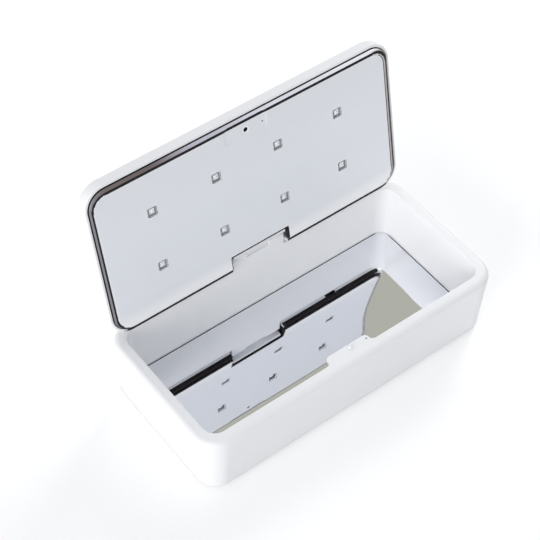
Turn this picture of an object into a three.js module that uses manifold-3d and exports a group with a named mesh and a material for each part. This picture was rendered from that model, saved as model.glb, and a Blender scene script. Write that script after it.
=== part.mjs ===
// A desk-top UV sterilizing box: a white tub with a polished floor, and a lid with eight UV LEDs
// behind a polished tray. Millimetres, +Z up, +Y towards the hinge. The origin is the middle of the
// flat underside, and the feet stand below it. The lid is modelled shut and then turned open.

import * as THREE from "three";
import { mergeVertices } from "three/addons/utils/BufferGeometryUtils.js";
import Module from "manifold-3d";

const wasm = await Module();
wasm.setup();

// The tub's outer shell
const baseLength = 250;
const baseDepth = 121;
const baseHeight = 54.5;
const baseCornerRadius = 17.5;
const baseDraft = 3;
const baseTopRounding = 4;
const baseBottomRounding = 2.5;
const baseWall = 2.2;
const baseLipWidth = 5;
const baseLipThickness = 1.6;
const ledgeThickness = 2;
const footStand = 1;
const fitGap = 0.3;

// The white liner
const mouthInset = 9;
const mouthRadius = 10;
const mouthRounding = 0.6;
const linerWall = 1.8;
const linerDraft = 0.4;
const linerFloor = 1.8;
const linerUnderRounding = 3;
const flangeThickness = 2;
const cavityDepth = 47.5;
const mirrorThickness = 0.8;

// The tab on the front rim, with its pin and magnet
const tabX = -0.8;
const tabWidth = 35;
const tabReach = 6.3;
const tabCornerRadius = 3;
const tabThickness = 2.4;
const pinX = 0.6;
const pinInset = 12;
const pinCollarRadius = 2.9;
const pinCollarHeight = 0.35;
const pinCollarChamfer = 0.15;
const pinGroove = 0.5;
const pinDomeRadius = 1.25;
const pinDomeRise = 1.9;
const pinShankRadius = 1.5;
const pinShankLength = 5.5;
const pinBossWall = 1.6;
const magnetX = 14.3;
const magnetRadius = 0.7;
const magnetLength = 1.5;

// The underside
const coverFlangeThickness = 1.5;
const screwInsetX = 21;
const screwInsetY = 20;
const screwHeadRadius = 2.2;
const screwHeadHeight = 1.2;
const screwShankRadius = 1;
const screwShankLength = 3.2;
const screwCoverGrip = 0.9;
const screwPostRadius = 3.6;
const footRadius = 6.5;
const footSink = 0.8;
const footRounding = 0.5;

// The hinge
const hingeInset = 5;
const hingeHeight = 8.5;
const lidOpenAngle = 101.5;
const towerX = -1.3;
const towerWidth = 45;
const towerBackTrim = 0.5;
const armKnuckleWidth = 19;
const hingePinRadius = 1.2;
const hingePinLength = 41;
const bushWall = 0.5;
const bushLength = 5;
const runningGap = 0.2;

// The lid's shell
const lidSideInset = 1.6;
const lidOverhang = 0.8;
const lidCornerRadius = 16.5;
const lidShellHeight = 11.5;
const lidTopRounding = 5.5;
const lidRimRounding = 1;
const lidWall = 2;
const lidTopWall = 2;
const closedGap = 0.3;
const hingeSlotStart = 0.6;

// The polished tray in the lid
const trayProud = 2.1;
const trayInset = 2.8;
const trayRounding = 3.8;
const trayRoundingDrop = 1.5;
const traySheet = 0.8;
const trayWallRise = 1.6;
const notchWidth = 47.6;
const notchDepth = 13.8;
const notchRounding = 0.8;
const notchInnerRadius = 0.4;
const notchOuterRadius = 1.2;
const windowSize = 6.8;
const windowRadius = 0.6;
const sightHoleRadius = 1.7;
const dotRadius = 0.6;
const reliefWidth = 36;
const reliefDepth = 16.5;
const reliefSink = 0.35;
const reliefSlope = 1.4;
const reliefRadius = 4;

// The UV LEDs and their boards
const ledX = -1.8;
const ledPitch = 50.7;
const ledColumns = 4;
const ledFrontY = -24.3;
const ledRearY = 20.7;
const ledSetback = 1;
const ledBodySize = 3.8;
const ledBodyThickness = 1;
const ledLensRadius = 1.4;
const ledLensRise = 0.5;
const boardLength = 176;
const boardWidth = 13;
const boardThickness = 1.2;
const boardPostRadius = 3;

// The interlock switch and the magnet sensor behind the tray
const switchWidth = 12.8;
const switchDepth = 6.4;
const plungerRadius = 1.1;
const plungerLength = 4;
const plungerProud = 1.4;
const plungerTravel = 1.2;
const sensorWidth = 4;
const sensorDepth = 3;
const sensorHeight = 1.4;

// The start button and the status light on top of the lid
const buttonRadius = 6.5;
const buttonProud = 0.4;
const buttonRounding = 0.5;
const buttonDish = 0.3;
const buttonDishMargin = 1.4;
const buttonFlangeWidth = 1.2;
const buttonFlangeThickness = 1.2;
const buttonStemRadius = 2.5;
const buttonTravel = 1;
const tactileSize = 6;
const tactileHeight = 3.5;
const tactileTipRadius = 1.7;
const tactileTipRise = 0.5;
const lightSpacing = 11;
const lightRadius = 1.3;
const lightFlangeRadius = 2.2;
const lightFlangeThickness = 1;

// The power pieces in the lid
const batteryX = -2;
const batteryY = -1.8;
const batterySpacing = 60;
const batteryLength = 56;
const batteryDepth = 28;
const batteryThickness = 6;
const batteryRounding = 2.6;
const controlEndInset = 51;
const controlLength = 52;
const controlDepth = 26;
const controlThickness = 1.6;
const controlDrop = 2.4;
const controlWallGap = 2.4;
const controlPostInset = 5;
const socketEndInset = 55;
const socketWidth = 9;
const socketDepth = 7.4;
const socketHeight = 3.2;
const socketWall = 0.4;
const socketTongue = 0.7;
const socketTongueWidth = 6.6;
const socketRecess = 0.5;

// The lid's hinge arm
const armDepth = 3.1;
const armDrop = 7;
const armSideGap = 1.5;
const armEdgeRadius = 1;
const armWebDrop = 1.5;
const armPlateReach = 13;
const armPlateThickness = 1.8;
const armPlateRise = 0.5;
const armScrewSpacing = 30;
const armScrewHeadRadius = 2.2;
const armScrewHeadHeight = 1.4;
const armScrewShankRadius = 1;
const armScrewShankLength = 5.2;
const armBossRadius = 3;

// How finely round forms are divided, and how far a cutting tool runs past what it cuts
const cornerSteps = 7;
const smallCornerSteps = 2;
const roundingSteps = 4;
const postSides = 24;
const smallSides = 12;
const overrun = 1;
const mergeDistance = 1e-4;

// Heights and places that follow from the sizes above
const underZ = 0;
const groundZ = underZ - footStand;
const lipTopZ = underZ + baseLipThickness;
const coverTopZ = lipTopZ + coverFlangeThickness;
const screwSeatZ = coverTopZ - screwCoverGrip;
const screwTipZ = screwSeatZ + screwShankLength;
const footSeatZ = underZ + footSink;
const rimZ = underZ + baseHeight;
const flangeUnderZ = rimZ - flangeThickness;
const floorZ = rimZ - cavityDepth;
const linerFloorZ = floorZ - mirrorThickness;
const linerUnderZ = linerFloorZ - linerFloor;
const halfLength = baseLength / 2;
const halfDepth = baseDepth / 2;
const hingeY = halfDepth - hingeInset;
const hingeZ = rimZ + hingeHeight;
const trayFaceZ = rimZ + closedGap;
const trayBackZ = trayFaceZ + traySheet;
const lidRimZ = trayFaceZ + trayProud;
const lidTopZ = lidRimZ + lidShellHeight;
const ceilingZ = lidTopZ - lidTopWall;
const underCeilingZ = ceilingZ - fitGap;
const knuckleRadius = underCeilingZ - hingeZ;
const bushRadius = hingePinRadius + runningGap + bushWall;
const pinY = -halfDepth + pinInset;
const ledBackZ = trayFaceZ + ledSetback + ledBodyThickness;
const boardUnderZ = ledBackZ + fitGap;
const boardTopZ = boardUnderZ + boardThickness;
const plungerTipZ = rimZ + pinDomeRise + fitGap;
const plungerTopZ = plungerTipZ + plungerLength;
const buttonX = ledX;
const buttonY = ledFrontY;
const tactileTopZ = boardTopZ + fitGap + tactileHeight + tactileTipRise;
const lightX = buttonX + lightSpacing;
const controlX = halfLength - controlEndInset;
const socketX = halfLength - socketEndInset;
const controlTopZ = ceilingZ - controlDrop;
const controlUnderZ = controlTopZ - controlThickness;
const controlY = halfDepth + lidOverhang - lidWall - controlWallGap - controlDepth / 2;
const socketTopZ = controlUnderZ - fitGap;
const socketUnderZ = socketTopZ - socketHeight;
const armFront = notchDepth - hingeInset - lidOverhang - fitGap;
const armBack = armFront - armDepth;
const armPlateTopZ = hingeZ + armPlateRise;
const armPlateUnderZ = armPlateTopZ - armPlateThickness;
const armScrewSeatZ = armPlateUnderZ - fitGap;
const armScrewTipZ = armScrewSeatZ + armScrewShankLength;
const armScrewY = hingeY - armFront - armPlateReach / 2;

// Outlines seen from above: rounded rectangles that rings are set in from
const baseOutline = {
  left: -halfLength,
  right: halfLength,
  front: -halfDepth,
  back: halfDepth,
  radius: baseCornerRadius,
};
const linerOutline = { ...baseOutline, radius: mouthInset + mouthRadius };
const lidOutline = {
  left: -halfLength + lidSideInset,
  right: halfLength - lidSideInset,
  front: -halfDepth - lidOverhang,
  back: halfDepth + lidOverhang,
  radius: lidCornerRadius,
};
const trayOutline = {
  left: lidOutline.left + trayInset,
  right: lidOutline.right - trayInset,
  front: lidOutline.front + trayInset,
  back: lidOutline.back - trayInset,
  radius: lidCornerRadius - trayInset,
};
const notch = {
  left: towerX - notchWidth / 2,
  right: towerX + notchWidth / 2,
  front: lidOutline.back - notchDepth,
};

// Finishes
function finish(color, roughness, metalness) {
  return new THREE.MeshStandardMaterial({ color, roughness, metalness });
}

const whiteShell = finish(0xf3f4f7, 0.42, 0);
const whiteLiner = finish(0xeef0f4, 0.35, 0);
const polishedSteel = finish(0xd9dce2, 0.06, 1);
const satinSteel = finish(0xd5d8de, 0.35, 1);
const plainSteel = finish(0xb9bcc2, 0.35, 1);
const greyRubber = finish(0x8d9094, 0.85, 0);
const darkBoard = finish(0x2a2b2e, 0.5, 0);
const greenBoard = finish(0x2c6b45, 0.5, 0);
const ceramic = finish(0xe6e6e2, 0.3, 0);
const darkPlastic = finish(0x24262a, 0.55, 0);
const foil = finish(0xa8acb3, 0.4, 0.6);
const clearPlastic = finish(0xe6eef5, 0.1, 0);
const nylon = finish(0xe4e1d6, 0.5, 0);

// Solids: every shape becomes a closed body that can be joined and cut
function solidOf(geometry) {
  const plain = geometry.index ? geometry.toNonIndexed() : geometry.clone();
  plain.deleteAttribute("normal");
  plain.deleteAttribute("uv");
  const merged = mergeVertices(plain, mergeDistance);
  const mesh = new wasm.Mesh({
    numProp: 3,
    vertProperties: new Float32Array(merged.attributes.position.array),
    triVerts: new Uint32Array(merged.index.array),
  });
  return new wasm.Manifold(mesh);
}

function geometryOf(solid) {
  const mesh = solid.getMesh();
  const shared = new THREE.BufferGeometry();
  shared.setAttribute("position", new THREE.BufferAttribute(new Float32Array(mesh.vertProperties), 3));
  shared.setIndex(new THREE.BufferAttribute(new Uint32Array(mesh.triVerts), 1));
  const faceted = shared.toNonIndexed();
  faceted.computeVertexNormals();
  return faceted;
}

function joined(...solids) {
  return solids.reduce((whole, next) => whole.add(next));
}

function cut(solid, ...tools) {
  return tools.reduce((whole, tool) => whole.subtract(tool), solid);
}

// The points of an arc round a centre, with both of its ends
function arcPoints(x, y, radius, from, to, z, steps = cornerSteps) {
  const points = [];
  for (let step = 0; step <= steps; step++) {
    const angle = THREE.MathUtils.degToRad(from + ((to - from) * step) / steps);
    points.push([x + radius * Math.cos(angle), y + radius * Math.sin(angle), z]);
  }
  return points;
}

// A ring of points round an outline, set in from it, at a height
function ring(outline, inset, z, radius = outline.radius - inset, steps = cornerSteps) {
  const left = outline.left + inset + radius;
  const right = outline.right - inset - radius;
  const front = outline.front + inset + radius;
  const back = outline.back - inset - radius;
  return [
    ...arcPoints(right, back, radius, 0, 90, z, steps),
    ...arcPoints(left, back, radius, 90, 180, z, steps),
    ...arcPoints(left, front, radius, 180, 270, z, steps),
    ...arcPoints(right, front, radius, 270, 360, z, steps),
  ];
}

// A ring round the tray, which goes in round the hinge notch by an inset of its own
function trayRing(inset, notchInset, z) {
  const radius = trayOutline.radius - inset;
  const left = trayOutline.left + inset + radius;
  const right = trayOutline.right - inset - radius;
  const front = trayOutline.front + inset + radius;
  const back = trayOutline.back - inset;
  const horn = notchOuterRadius - notchInset;
  const hollow = notchInnerRadius + notchInset;
  const hollowY = notch.front + notchInnerRadius;
  return [
    ...arcPoints(right, back - radius, radius, 0, 90, z),
    ...arcPoints(notch.right + notchInset + horn, back - horn, horn, 90, 180, z),
    ...arcPoints(notch.right - notchInnerRadius, hollowY, hollow, 0, -90, z),
    ...arcPoints(notch.left + notchInnerRadius, hollowY, hollow, -90, -180, z),
    ...arcPoints(notch.left - notchInset - horn, back - horn, horn, 0, 90, z),
    ...arcPoints(left, back - radius, radius, 90, 180, z),
    ...arcPoints(left, front, radius, 180, 270, z),
    ...arcPoints(right, front, radius, 270, 360, z),
  ];
}

// A quarter round from one place to another. A place is a list of numbers with its height last
function quarter(from, to, startsUpright) {
  const places = [];
  for (let step = 0; step <= roundingSteps; step++) {
    const angle = ((step / roundingSteps) * Math.PI) / 2;
    const slowShare = 1 - Math.cos(angle);
    const fastShare = Math.sin(angle);
    places.push(from.map((start, i) => {
      const isHeight = i === from.length - 1;
      const share = isHeight === startsUpright ? fastShare : slowShare;
      return start + (to[i] - start) * share;
    }));
  }
  return places;
}

// A body lofted through rings: up the outside, over and down the inside, with both ends capped.
// A closed loft has no caps and joins its last ring to its first
function loft(rings, closed = false) {
  const count = rings[0].length;
  const positions = [];
  const face = (a, b, c) => positions.push(...a, ...b, ...c);
  const bands = closed ? rings.length : rings.length - 1;
  for (let band = 0; band < bands; band++) {
    const low = rings[band];
    const high = rings[(band + 1) % rings.length];
    for (let i = 0; i < count; i++) {
      const j = (i + 1) % count;
      face(low[i], low[j], high[j]);
      face(low[i], high[j], high[i]);
    }
  }
  if (!closed) {
    const first = rings[0];
    const last = rings[rings.length - 1];
    capOf(first).forEach(([a, b, c]) => face(first[a], first[c], first[b]));
    capOf(last).forEach(([a, b, c]) => face(last[a], last[b], last[c]));
  }
  const geometry = new THREE.BufferGeometry();
  geometry.setAttribute("position", new THREE.Float32BufferAttribute(positions, 3));
  return solidOf(geometry);
}

function capOf(points) {
  const flat = points.map(([x, y]) => new THREE.Vector2(x, y));
  return THREE.ShapeUtils.triangulateShape(flat, []);
}

function ringsOf(outline, profile) {
  return profile.map(([inset, z, radius]) => ring(outline, inset, z, radius));
}

function block(x0, x1, y0, y1, z0, z1) {
  const geometry = new THREE.BoxGeometry(x1 - x0, y1 - y0, z1 - z0);
  geometry.translate((x0 + x1) / 2, (y0 + y1) / 2, (z0 + z1) / 2);
  return solidOf(geometry);
}

function blockAt(x, y, width, depth, z0, z1) {
  return block(x - width / 2, x + width / 2, y - depth / 2, y + depth / 2, z0, z1);
}

// The same with rounded upright edges
function roundedAt(x, y, width, depth, z0, z1, radius) {
  const outline = {
    left: x - width / 2,
    right: x + width / 2,
    front: y - depth / 2,
    back: y + depth / 2,
    radius,
  };
  return loft([z0, z1].map((z) => ring(outline, 0, z, radius, smallCornerSteps)));
}

// A body turned round an upright axis: its profile is [radius, height] places from the foot up
function turned(x, y, profile, sides = postSides) {
  const points = profile.map(([radius, z]) => new THREE.Vector2(radius, z));
  const geometry = new THREE.LatheGeometry(points, sides);
  geometry.rotateX(Math.PI / 2);
  geometry.translate(x, y, 0);
  return solidOf(geometry);
}

function post(x, y, z0, z1, radius, sides = postSides) {
  return turned(x, y, [[0, z0], [radius, z0], [radius, z1], [0, z1]], sides);
}

// A round bar along the hinge's axis
function bar(x0, x1, radius) {
  const geometry = new THREE.CylinderGeometry(radius, radius, x1 - x0, postSides);
  geometry.rotateZ(Math.PI / 2);
  geometry.translate((x0 + x1) / 2, hingeY, hingeZ);
  return solidOf(geometry);
}

// A side view, drawn as Y and Z round the hinge's axis, and drawn out along X
function drawnAcross(shape, x0, x1) {
  const settings = { depth: x1 - x0, bevelEnabled: false, curveSegments: cornerSteps };
  const geometry = new THREE.ExtrudeGeometry(shape, settings);
  const along = new THREE.Matrix4().makeBasis(
    new THREE.Vector3(0, 1, 0),
    new THREE.Vector3(0, 0, 1),
    new THREE.Vector3(1, 0, 0),
  );
  geometry.applyMatrix4(along);
  geometry.translate(x0, hingeY, hingeZ);
  return solidOf(geometry);
}

// A plan view drawn up along Z
function drawnUp(shape, z0, z1) {
  const settings = { depth: z1 - z0, bevelEnabled: false, curveSegments: cornerSteps };
  const geometry = new THREE.ExtrudeGeometry(shape, settings);
  geometry.translate(0, 0, z0);
  return solidOf(geometry);
}

function named(name, solid, material) {
  const mesh = new THREE.Mesh(geometryOf(solid), material);
  mesh.name = name;
  return mesh;
}

// The tub's white outer shell: drafted walls, a rounded rim, a ledge for the liner and a foot lip
function baseOuterShell() {
  const shoulderZ = rimZ - baseTopRounding;
  const draftAt = (z) => (baseDraft * (shoulderZ - z)) / (shoulderZ - underZ);
  const lipInset = baseDraft + baseLipWidth;
  const roundingZ = underZ + baseBottomRounding;
  const ledgeInset = mouthInset - linerWall - fitGap;
  const ledgeUnderZ = flangeUnderZ - ledgeThickness;
  const gussetZ = ledgeUnderZ - (ledgeInset - baseWall);
  return loft(ringsOf(baseOutline, [
    [lipInset, underZ],
    ...quarter([baseDraft + baseBottomRounding, underZ], [draftAt(roundingZ), roundingZ], false),
    ...quarter([draftAt(shoulderZ), shoulderZ], [baseTopRounding, rimZ], true),
    [baseTopRounding, flangeUnderZ],
    [ledgeInset, flangeUnderZ],
    [ledgeInset, ledgeUnderZ],
    [baseWall + draftAt(gussetZ), gussetZ],
    [baseWall + draftAt(lipTopZ), lipTopZ],
    [lipInset, lipTopZ],
  ]), true);
}

// The tab's plan: it swells out of the front rim and runs straight between its rounded ends
function tabShape() {
  const rootY = -halfDepth + mouthInset;
  const sunkY = rootY - overrun;
  const edgeY = rootY + tabReach;
  const left = tabX - tabWidth / 2;
  const right = tabX + tabWidth / 2;
  const rootRadius = tabReach - tabCornerRadius;
  const cornerY = edgeY - tabCornerRadius;
  const shape = new THREE.Shape();
  shape.moveTo(left - rootRadius, sunkY);
  shape.lineTo(right + rootRadius, sunkY);
  shape.absarc(right + rootRadius, rootY + rootRadius, rootRadius, -Math.PI / 2, -Math.PI, true);
  shape.absarc(right - tabCornerRadius, cornerY, tabCornerRadius, 0, Math.PI / 2);
  shape.absarc(left + tabCornerRadius, cornerY, tabCornerRadius, Math.PI / 2, Math.PI);
  shape.absarc(left - rootRadius, rootY + rootRadius, rootRadius, 0, -Math.PI / 2, true);
  return shape;
}

// The tower that carries on the liner's rear wall above the rim and holds the hinge pin
function hingeTower() {
  const front = hingeInset - mouthInset;
  const back = knuckleRadius - towerBackTrim;
  const flangeBack = hingeInset - baseTopRounding - fitGap;
  const rootZ = flangeUnderZ - hingeZ;
  const overRimZ = rimZ + fitGap - hingeZ;
  const backTurn = Math.acos(back / knuckleRadius);
  const shape = new THREE.Shape();
  shape.moveTo(front, rootZ);
  shape.lineTo(flangeBack, rootZ);
  shape.lineTo(flangeBack, overRimZ);
  shape.lineTo(back, overRimZ);
  shape.absarc(0, 0, knuckleRadius, backTurn, Math.PI / 2);
  shape.absellipse(0, 0, -front, knuckleRadius, Math.PI / 2, Math.PI);
  const swing = knuckleRadius + fitGap;
  const slotLeft = towerX - armKnuckleWidth / 2 - fitGap;
  const slotRight = towerX + armKnuckleWidth / 2 + fitGap;
  const slotFront = hingeY + front - overrun;
  const slotBack = hingeY + back + overrun;
  const webZ = hingeZ - armWebDrop - fitGap;
  return cut(
    drawnAcross(shape, towerX - towerWidth / 2, towerX + towerWidth / 2),
    bar(slotLeft, slotRight, swing),
    block(slotLeft, slotRight, slotFront, slotBack, webZ, hingeZ + swing),
    block(slotLeft, slotRight, hingeY, slotBack, hingeZ - swing, hingeZ),
  );
}

// The liner: a flat rim flange, the tub itself, the front tab, screw posts and the hinge tower
function innerTub() {
  const wallInset = mouthInset - linerWall;
  const underInset = wallInset + linerDraft;
  const roundingZ = linerUnderZ + linerUnderRounding;
  const flangeInset = baseTopRounding + fitGap;
  const flangeRadius = baseCornerRadius - flangeInset;
  const tub = loft(ringsOf(linerOutline, [
    ...quarter([underInset + linerUnderRounding, linerUnderZ], [underInset, roundingZ], false),
    [wallInset, flangeUnderZ],
    [flangeInset, flangeUnderZ, flangeRadius],
    [flangeInset, rimZ, flangeRadius],
    ...quarter([mouthInset - mouthRounding, rimZ], [mouthInset, rimZ - mouthRounding], false),
    [mouthInset + linerDraft, linerFloorZ],
  ]));
  const tab = drawnUp(tabShape(), rimZ - tabThickness, rimZ);
  const bossRadius = pinShankRadius + fitGap + pinBossWall;
  const boss = post(pinX, pinY, rimZ - pinShankLength - pinBossWall, rimZ - tabThickness / 2, bossRadius);
  const screwPosts = screwPlaces().map(([x, y]) => {
    return post(x, y, coverTopZ, linerUnderZ + linerFloor / 2, screwPostRadius);
  });
  const screwBores = screwPlaces().map(([x, y]) => {
    return post(x, y, coverTopZ - overrun, screwTipZ + fitGap, screwShankRadius + fitGap, smallSides);
  });
  const towerLeft = towerX - towerWidth / 2;
  const towerRight = towerX + towerWidth / 2;
  return cut(
    joined(tub, tab, boss, hingeTower(), ...screwPosts),
    post(pinX, pinY, rimZ - pinShankLength - fitGap, rimZ + overrun, pinShankRadius + fitGap),
    post(magnetX, pinY, rimZ - magnetLength - fitGap, rimZ + overrun, magnetRadius + fitGap, smallSides),
    bar(towerLeft - overrun, towerRight + overrun, hingePinRadius + runningGap),
    ...screwBores,
  );
}

function floorMirrorPlate() {
  const inset = mouthInset + linerDraft + fitGap;
  return loft(ringsOf(linerOutline, [[inset, linerFloorZ], [inset, floorZ]]));
}

// The pin on the tab: a domed tip in a turned collar that rests on the tab
function interlockPin() {
  const collarTopZ = rimZ + pinCollarHeight;
  const domeFootZ = rimZ + pinDomeRise - pinDomeRadius;
  return turned(pinX, pinY, [
    [0, rimZ - pinShankLength],
    [pinShankRadius, rimZ - pinShankLength],
    [pinShankRadius, rimZ],
    [pinCollarRadius, rimZ],
    [pinCollarRadius, collarTopZ - pinCollarChamfer],
    [pinCollarRadius - pinCollarChamfer, collarTopZ],
    [pinDomeRadius + pinGroove, collarTopZ],
    [pinDomeRadius, rimZ + pinCollarChamfer],
    ...quarter([pinDomeRadius, domeFootZ], [0, rimZ + pinDomeRise], true),
  ]);
}

function tabMagnet() {
  return post(magnetX, pinY, rimZ - magnetLength, rimZ, magnetRadius, smallSides);
}

// The underside: a cover that sits on the shell's lip, four screws, and feet over the screws
function screwPlaces() {
  const x = halfLength - screwInsetX;
  const y = halfDepth - screwInsetY;
  return [[-x, -y], [x, -y], [x, y], [-x, y]];
}

function bottomCover() {
  const plateInset = baseDraft + baseLipWidth + fitGap;
  const flangeInset = baseDraft + baseWall + fitGap;
  const plate = loft(ringsOf(baseOutline, [
    [plateInset, underZ],
    [plateInset, lipTopZ],
    [flangeInset, lipTopZ],
    [flangeInset, coverTopZ],
  ]));
  const holes = screwPlaces().flatMap(([x, y]) => [
    post(x, y, underZ - overrun, footSeatZ, footRadius + fitGap),
    post(x, y, underZ, screwSeatZ, screwHeadRadius + fitGap, smallSides),
    post(x, y, underZ, coverTopZ + overrun, screwShankRadius + fitGap, smallSides),
  ]);
  return cut(plate, ...holes);
}

function bottomScrew(x, y) {
  return turned(x, y, [
    [0, screwSeatZ - screwHeadHeight],
    [screwHeadRadius, screwSeatZ - screwHeadHeight],
    [screwHeadRadius, screwSeatZ],
    [screwShankRadius, screwSeatZ],
    [screwShankRadius, screwTipZ],
    [0, screwTipZ],
  ], smallSides);
}

function foot(x, y) {
  return turned(x, y, [
    [0, groundZ],
    [footRadius - footRounding, groundZ],
    [footRadius, groundZ + footRounding],
    [footRadius, footSeatZ],
    [0, footSeatZ],
  ]);
}

// The hinge's pin, and the bushes in the two ends of the arm's barrel
function hingePin() {
  return bar(towerX - hingePinLength / 2, towerX + hingePinLength / 2, hingePinRadius);
}

function hingeBush(side) {
  const outer = towerX + (side * armKnuckleWidth) / 2;
  const inner = outer - side * bushLength;
  const left = Math.min(outer, inner);
  const right = Math.max(outer, inner);
  return cut(bar(left, right, bushRadius), bar(left - overrun, right + overrun, hingePinRadius + runningGap));
}

// The lid's white outer shell, with its bosses and the openings in its top and rear wall
function lidOuterShell() {
  const innerRounding = lidTopRounding - lidWall;
  const shell = loft(ringsOf(lidOutline, [
    ...quarter([lidWall + innerRounding, ceilingZ], [lidWall, ceilingZ - innerRounding], false),
    [lidWall, lidRimZ],
    ...quarter([lidRimRounding, lidRimZ], [0, lidRimZ + lidRimRounding], false),
    ...quarter([0, lidTopZ - lidTopRounding], [lidTopRounding, lidTopZ], true),
  ]));
  const rootZ = ceilingZ + lidTopWall / 2;
  const boardPosts = boardPostPlaces().map(([x, y]) => {
    return post(x, y, boardTopZ + fitGap, rootZ, boardPostRadius, smallSides);
  });
  const controlPosts = controlPostPlaces().map(([x, y]) => {
    return post(x, y, controlTopZ + fitGap, rootZ, boardPostRadius, smallSides);
  });
  const armBosses = armScrewPlaces().map(([x, y]) => {
    return post(x, y, armPlateTopZ + fitGap, rootZ, armBossRadius, smallSides);
  });
  const armBores = armScrewPlaces().map(([x, y]) => {
    return post(x, y, armPlateTopZ, armScrewTipZ + fitGap, armScrewShankRadius + fitGap, smallSides);
  });
  const overTopZ = lidTopZ + overrun;
  const behind = lidOutline.back + overrun;
  const slotFront = hingeY + hingeSlotStart;
  const socketHalf = socketWidth / 2 + fitGap;
  const socketFront = lidOutline.back - lidWall - overrun;
  return cut(
    joined(shell, ...boardPosts, ...controlPosts, ...armBosses),
    ...armBores,
    block(notch.left, notch.right, slotFront, behind, lidRimZ - overrun, overTopZ),
    post(buttonX, buttonY, ceilingZ - overrun, overTopZ, buttonRadius + fitGap),
    post(lightX, buttonY, ceilingZ - overrun, overTopZ, lightRadius + fitGap, smallSides),
    block(
      socketX - socketHalf,
      socketX + socketHalf,
      socketFront,
      behind,
      socketUnderZ - fitGap,
      socketTopZ + fitGap,
    ),
  );
}

// The lid's posts stand between the LEDs of each row and near the control board's corners
function boardPostPlaces() {
  return [ledFrontY, ledRearY].flatMap((y) => [[ledX - ledPitch, y], [ledX + ledPitch, y]]);
}

function controlPostPlaces() {
  const x = controlLength / 2 - controlPostInset;
  const y = controlDepth / 2 - controlPostInset;
  return [[-x, -y], [x, -y], [x, y], [-x, y]].map(([dx, dy]) => [controlX + dx, controlY + dy]);
}

// The polished tray: a drawn sheet with rounded edges, a turned-up wall and a notch at the hinge
function lidMirrorTray() {
  const shoulderZ = trayFaceZ + trayRoundingDrop;
  const wallTopZ = lidRimZ + trayWallRise;
  const profile = [
    ...quarter([trayRounding, notchRounding, trayFaceZ], [0, 0, shoulderZ], false),
    [0, 0, wallTopZ],
    [traySheet, traySheet, wallTopZ],
    ...quarter([traySheet, traySheet, shoulderZ], [trayRounding, notchRounding, trayBackZ], true),
  ];
  const sheet = loft(profile.map(([inset, notchInset, z]) => trayRing(inset, notchInset, z)));
  const relief = {
    left: pinX - reliefWidth / 2,
    right: pinX + reliefWidth / 2,
    front: trayOutline.front - overrun,
    back: trayOutline.front + reliefDepth,
    radius: reliefRadius,
  };
  const pad = { ...relief, front: trayOutline.front + trayRounding };
  const pocket = loft(ringsOf(relief, [
    [0, trayFaceZ - overrun],
    [0, trayFaceZ],
    [reliefSlope, trayFaceZ + reliefSink],
  ]));
  const raised = loft(ringsOf(pad, [
    [0, trayFaceZ + reliefSink],
    [0, trayBackZ],
    [reliefSlope, trayBackZ + reliefSink],
  ]));
  const backZ = trayBackZ + reliefSink + overrun;
  const windows = ledPlaces().map(([x, y]) => {
    return roundedAt(x, y, windowSize, windowSize, trayFaceZ - overrun, backZ, windowRadius);
  });
  return cut(
    joined(cut(sheet, pocket), raised),
    ...windows,
    post(pinX, pinY, trayFaceZ - overrun, backZ, sightHoleRadius),
    post(magnetX, pinY, trayFaceZ - overrun, backZ, dotRadius, smallSides),
  );
}

// The UV LEDs: a square ceramic body with a low lens, in two rows on two boards
function ledPlaces() {
  const places = [];
  for (const y of [ledFrontY, ledRearY]) {
    for (let column = 0; column < ledColumns; column++) {
      places.push([ledX + (column - (ledColumns - 1) / 2) * ledPitch, y]);
    }
  }
  return places;
}

function uvLed(x, y) {
  const faceZ = ledBackZ - ledBodyThickness;
  const body = blockAt(x, y, ledBodySize, ledBodySize, faceZ, ledBackZ);
  const lens = turned(x, y, [
    ...quarter([0, faceZ - ledLensRise], [ledLensRadius, faceZ], false),
    [ledLensRadius, ledBackZ - ledBodyThickness / 2],
    [0, ledBackZ - ledBodyThickness / 2],
  ], smallSides);
  return joined(body, lens);
}

function ledBoard(y) {
  return blockAt(ledX, y, boardLength, boardWidth, boardUnderZ, boardTopZ);
}

// The interlock switch hangs from the lid's ceiling over the hole in the tray
function interlockSwitch() {
  const body = blockAt(pinX, pinY, switchWidth, switchDepth, plungerTipZ + plungerProud, underCeilingZ);
  const boreTopZ = plungerTopZ + plungerTravel + fitGap;
  return cut(body, post(pinX, pinY, plungerTipZ, boreTopZ, plungerRadius + fitGap, smallSides));
}

function interlockPlunger() {
  return post(pinX, pinY, plungerTipZ, plungerTopZ, plungerRadius, smallSides);
}

function magnetSensor() {
  const footZ = trayBackZ + reliefSink + fitGap;
  return blockAt(magnetX, pinY, sensorWidth, sensorDepth, footZ, footZ + sensorHeight);
}

// The start button: a dished cap held in by a flange, with a stem over a tactile switch
function powerButton() {
  const stemZ = tactileTopZ + buttonTravel + fitGap;
  const flangeZ = underCeilingZ - buttonFlangeThickness;
  const flangeRadius = buttonRadius + buttonFlangeWidth;
  const topZ = lidTopZ + buttonProud;
  return turned(buttonX, buttonY, [
    [0, stemZ],
    [buttonStemRadius, stemZ],
    [buttonStemRadius, flangeZ],
    [flangeRadius, flangeZ],
    [flangeRadius, underCeilingZ],
    [buttonRadius, underCeilingZ],
    ...quarter([buttonRadius, topZ - buttonRounding], [buttonRadius - buttonRounding, topZ], true),
    [buttonRadius - buttonDishMargin, topZ - buttonDish],
    [0, topZ - buttonDish],
  ]);
}

function buttonSwitch() {
  const footZ = boardTopZ + fitGap;
  const shoulderZ = footZ + tactileHeight;
  const body = blockAt(buttonX, buttonY, tactileSize, tactileSize, footZ, shoulderZ);
  const tipFootZ = footZ + tactileHeight / 2;
  return joined(body, post(buttonX, buttonY, tipFootZ, tactileTopZ, tactileTipRadius, smallSides));
}

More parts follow.
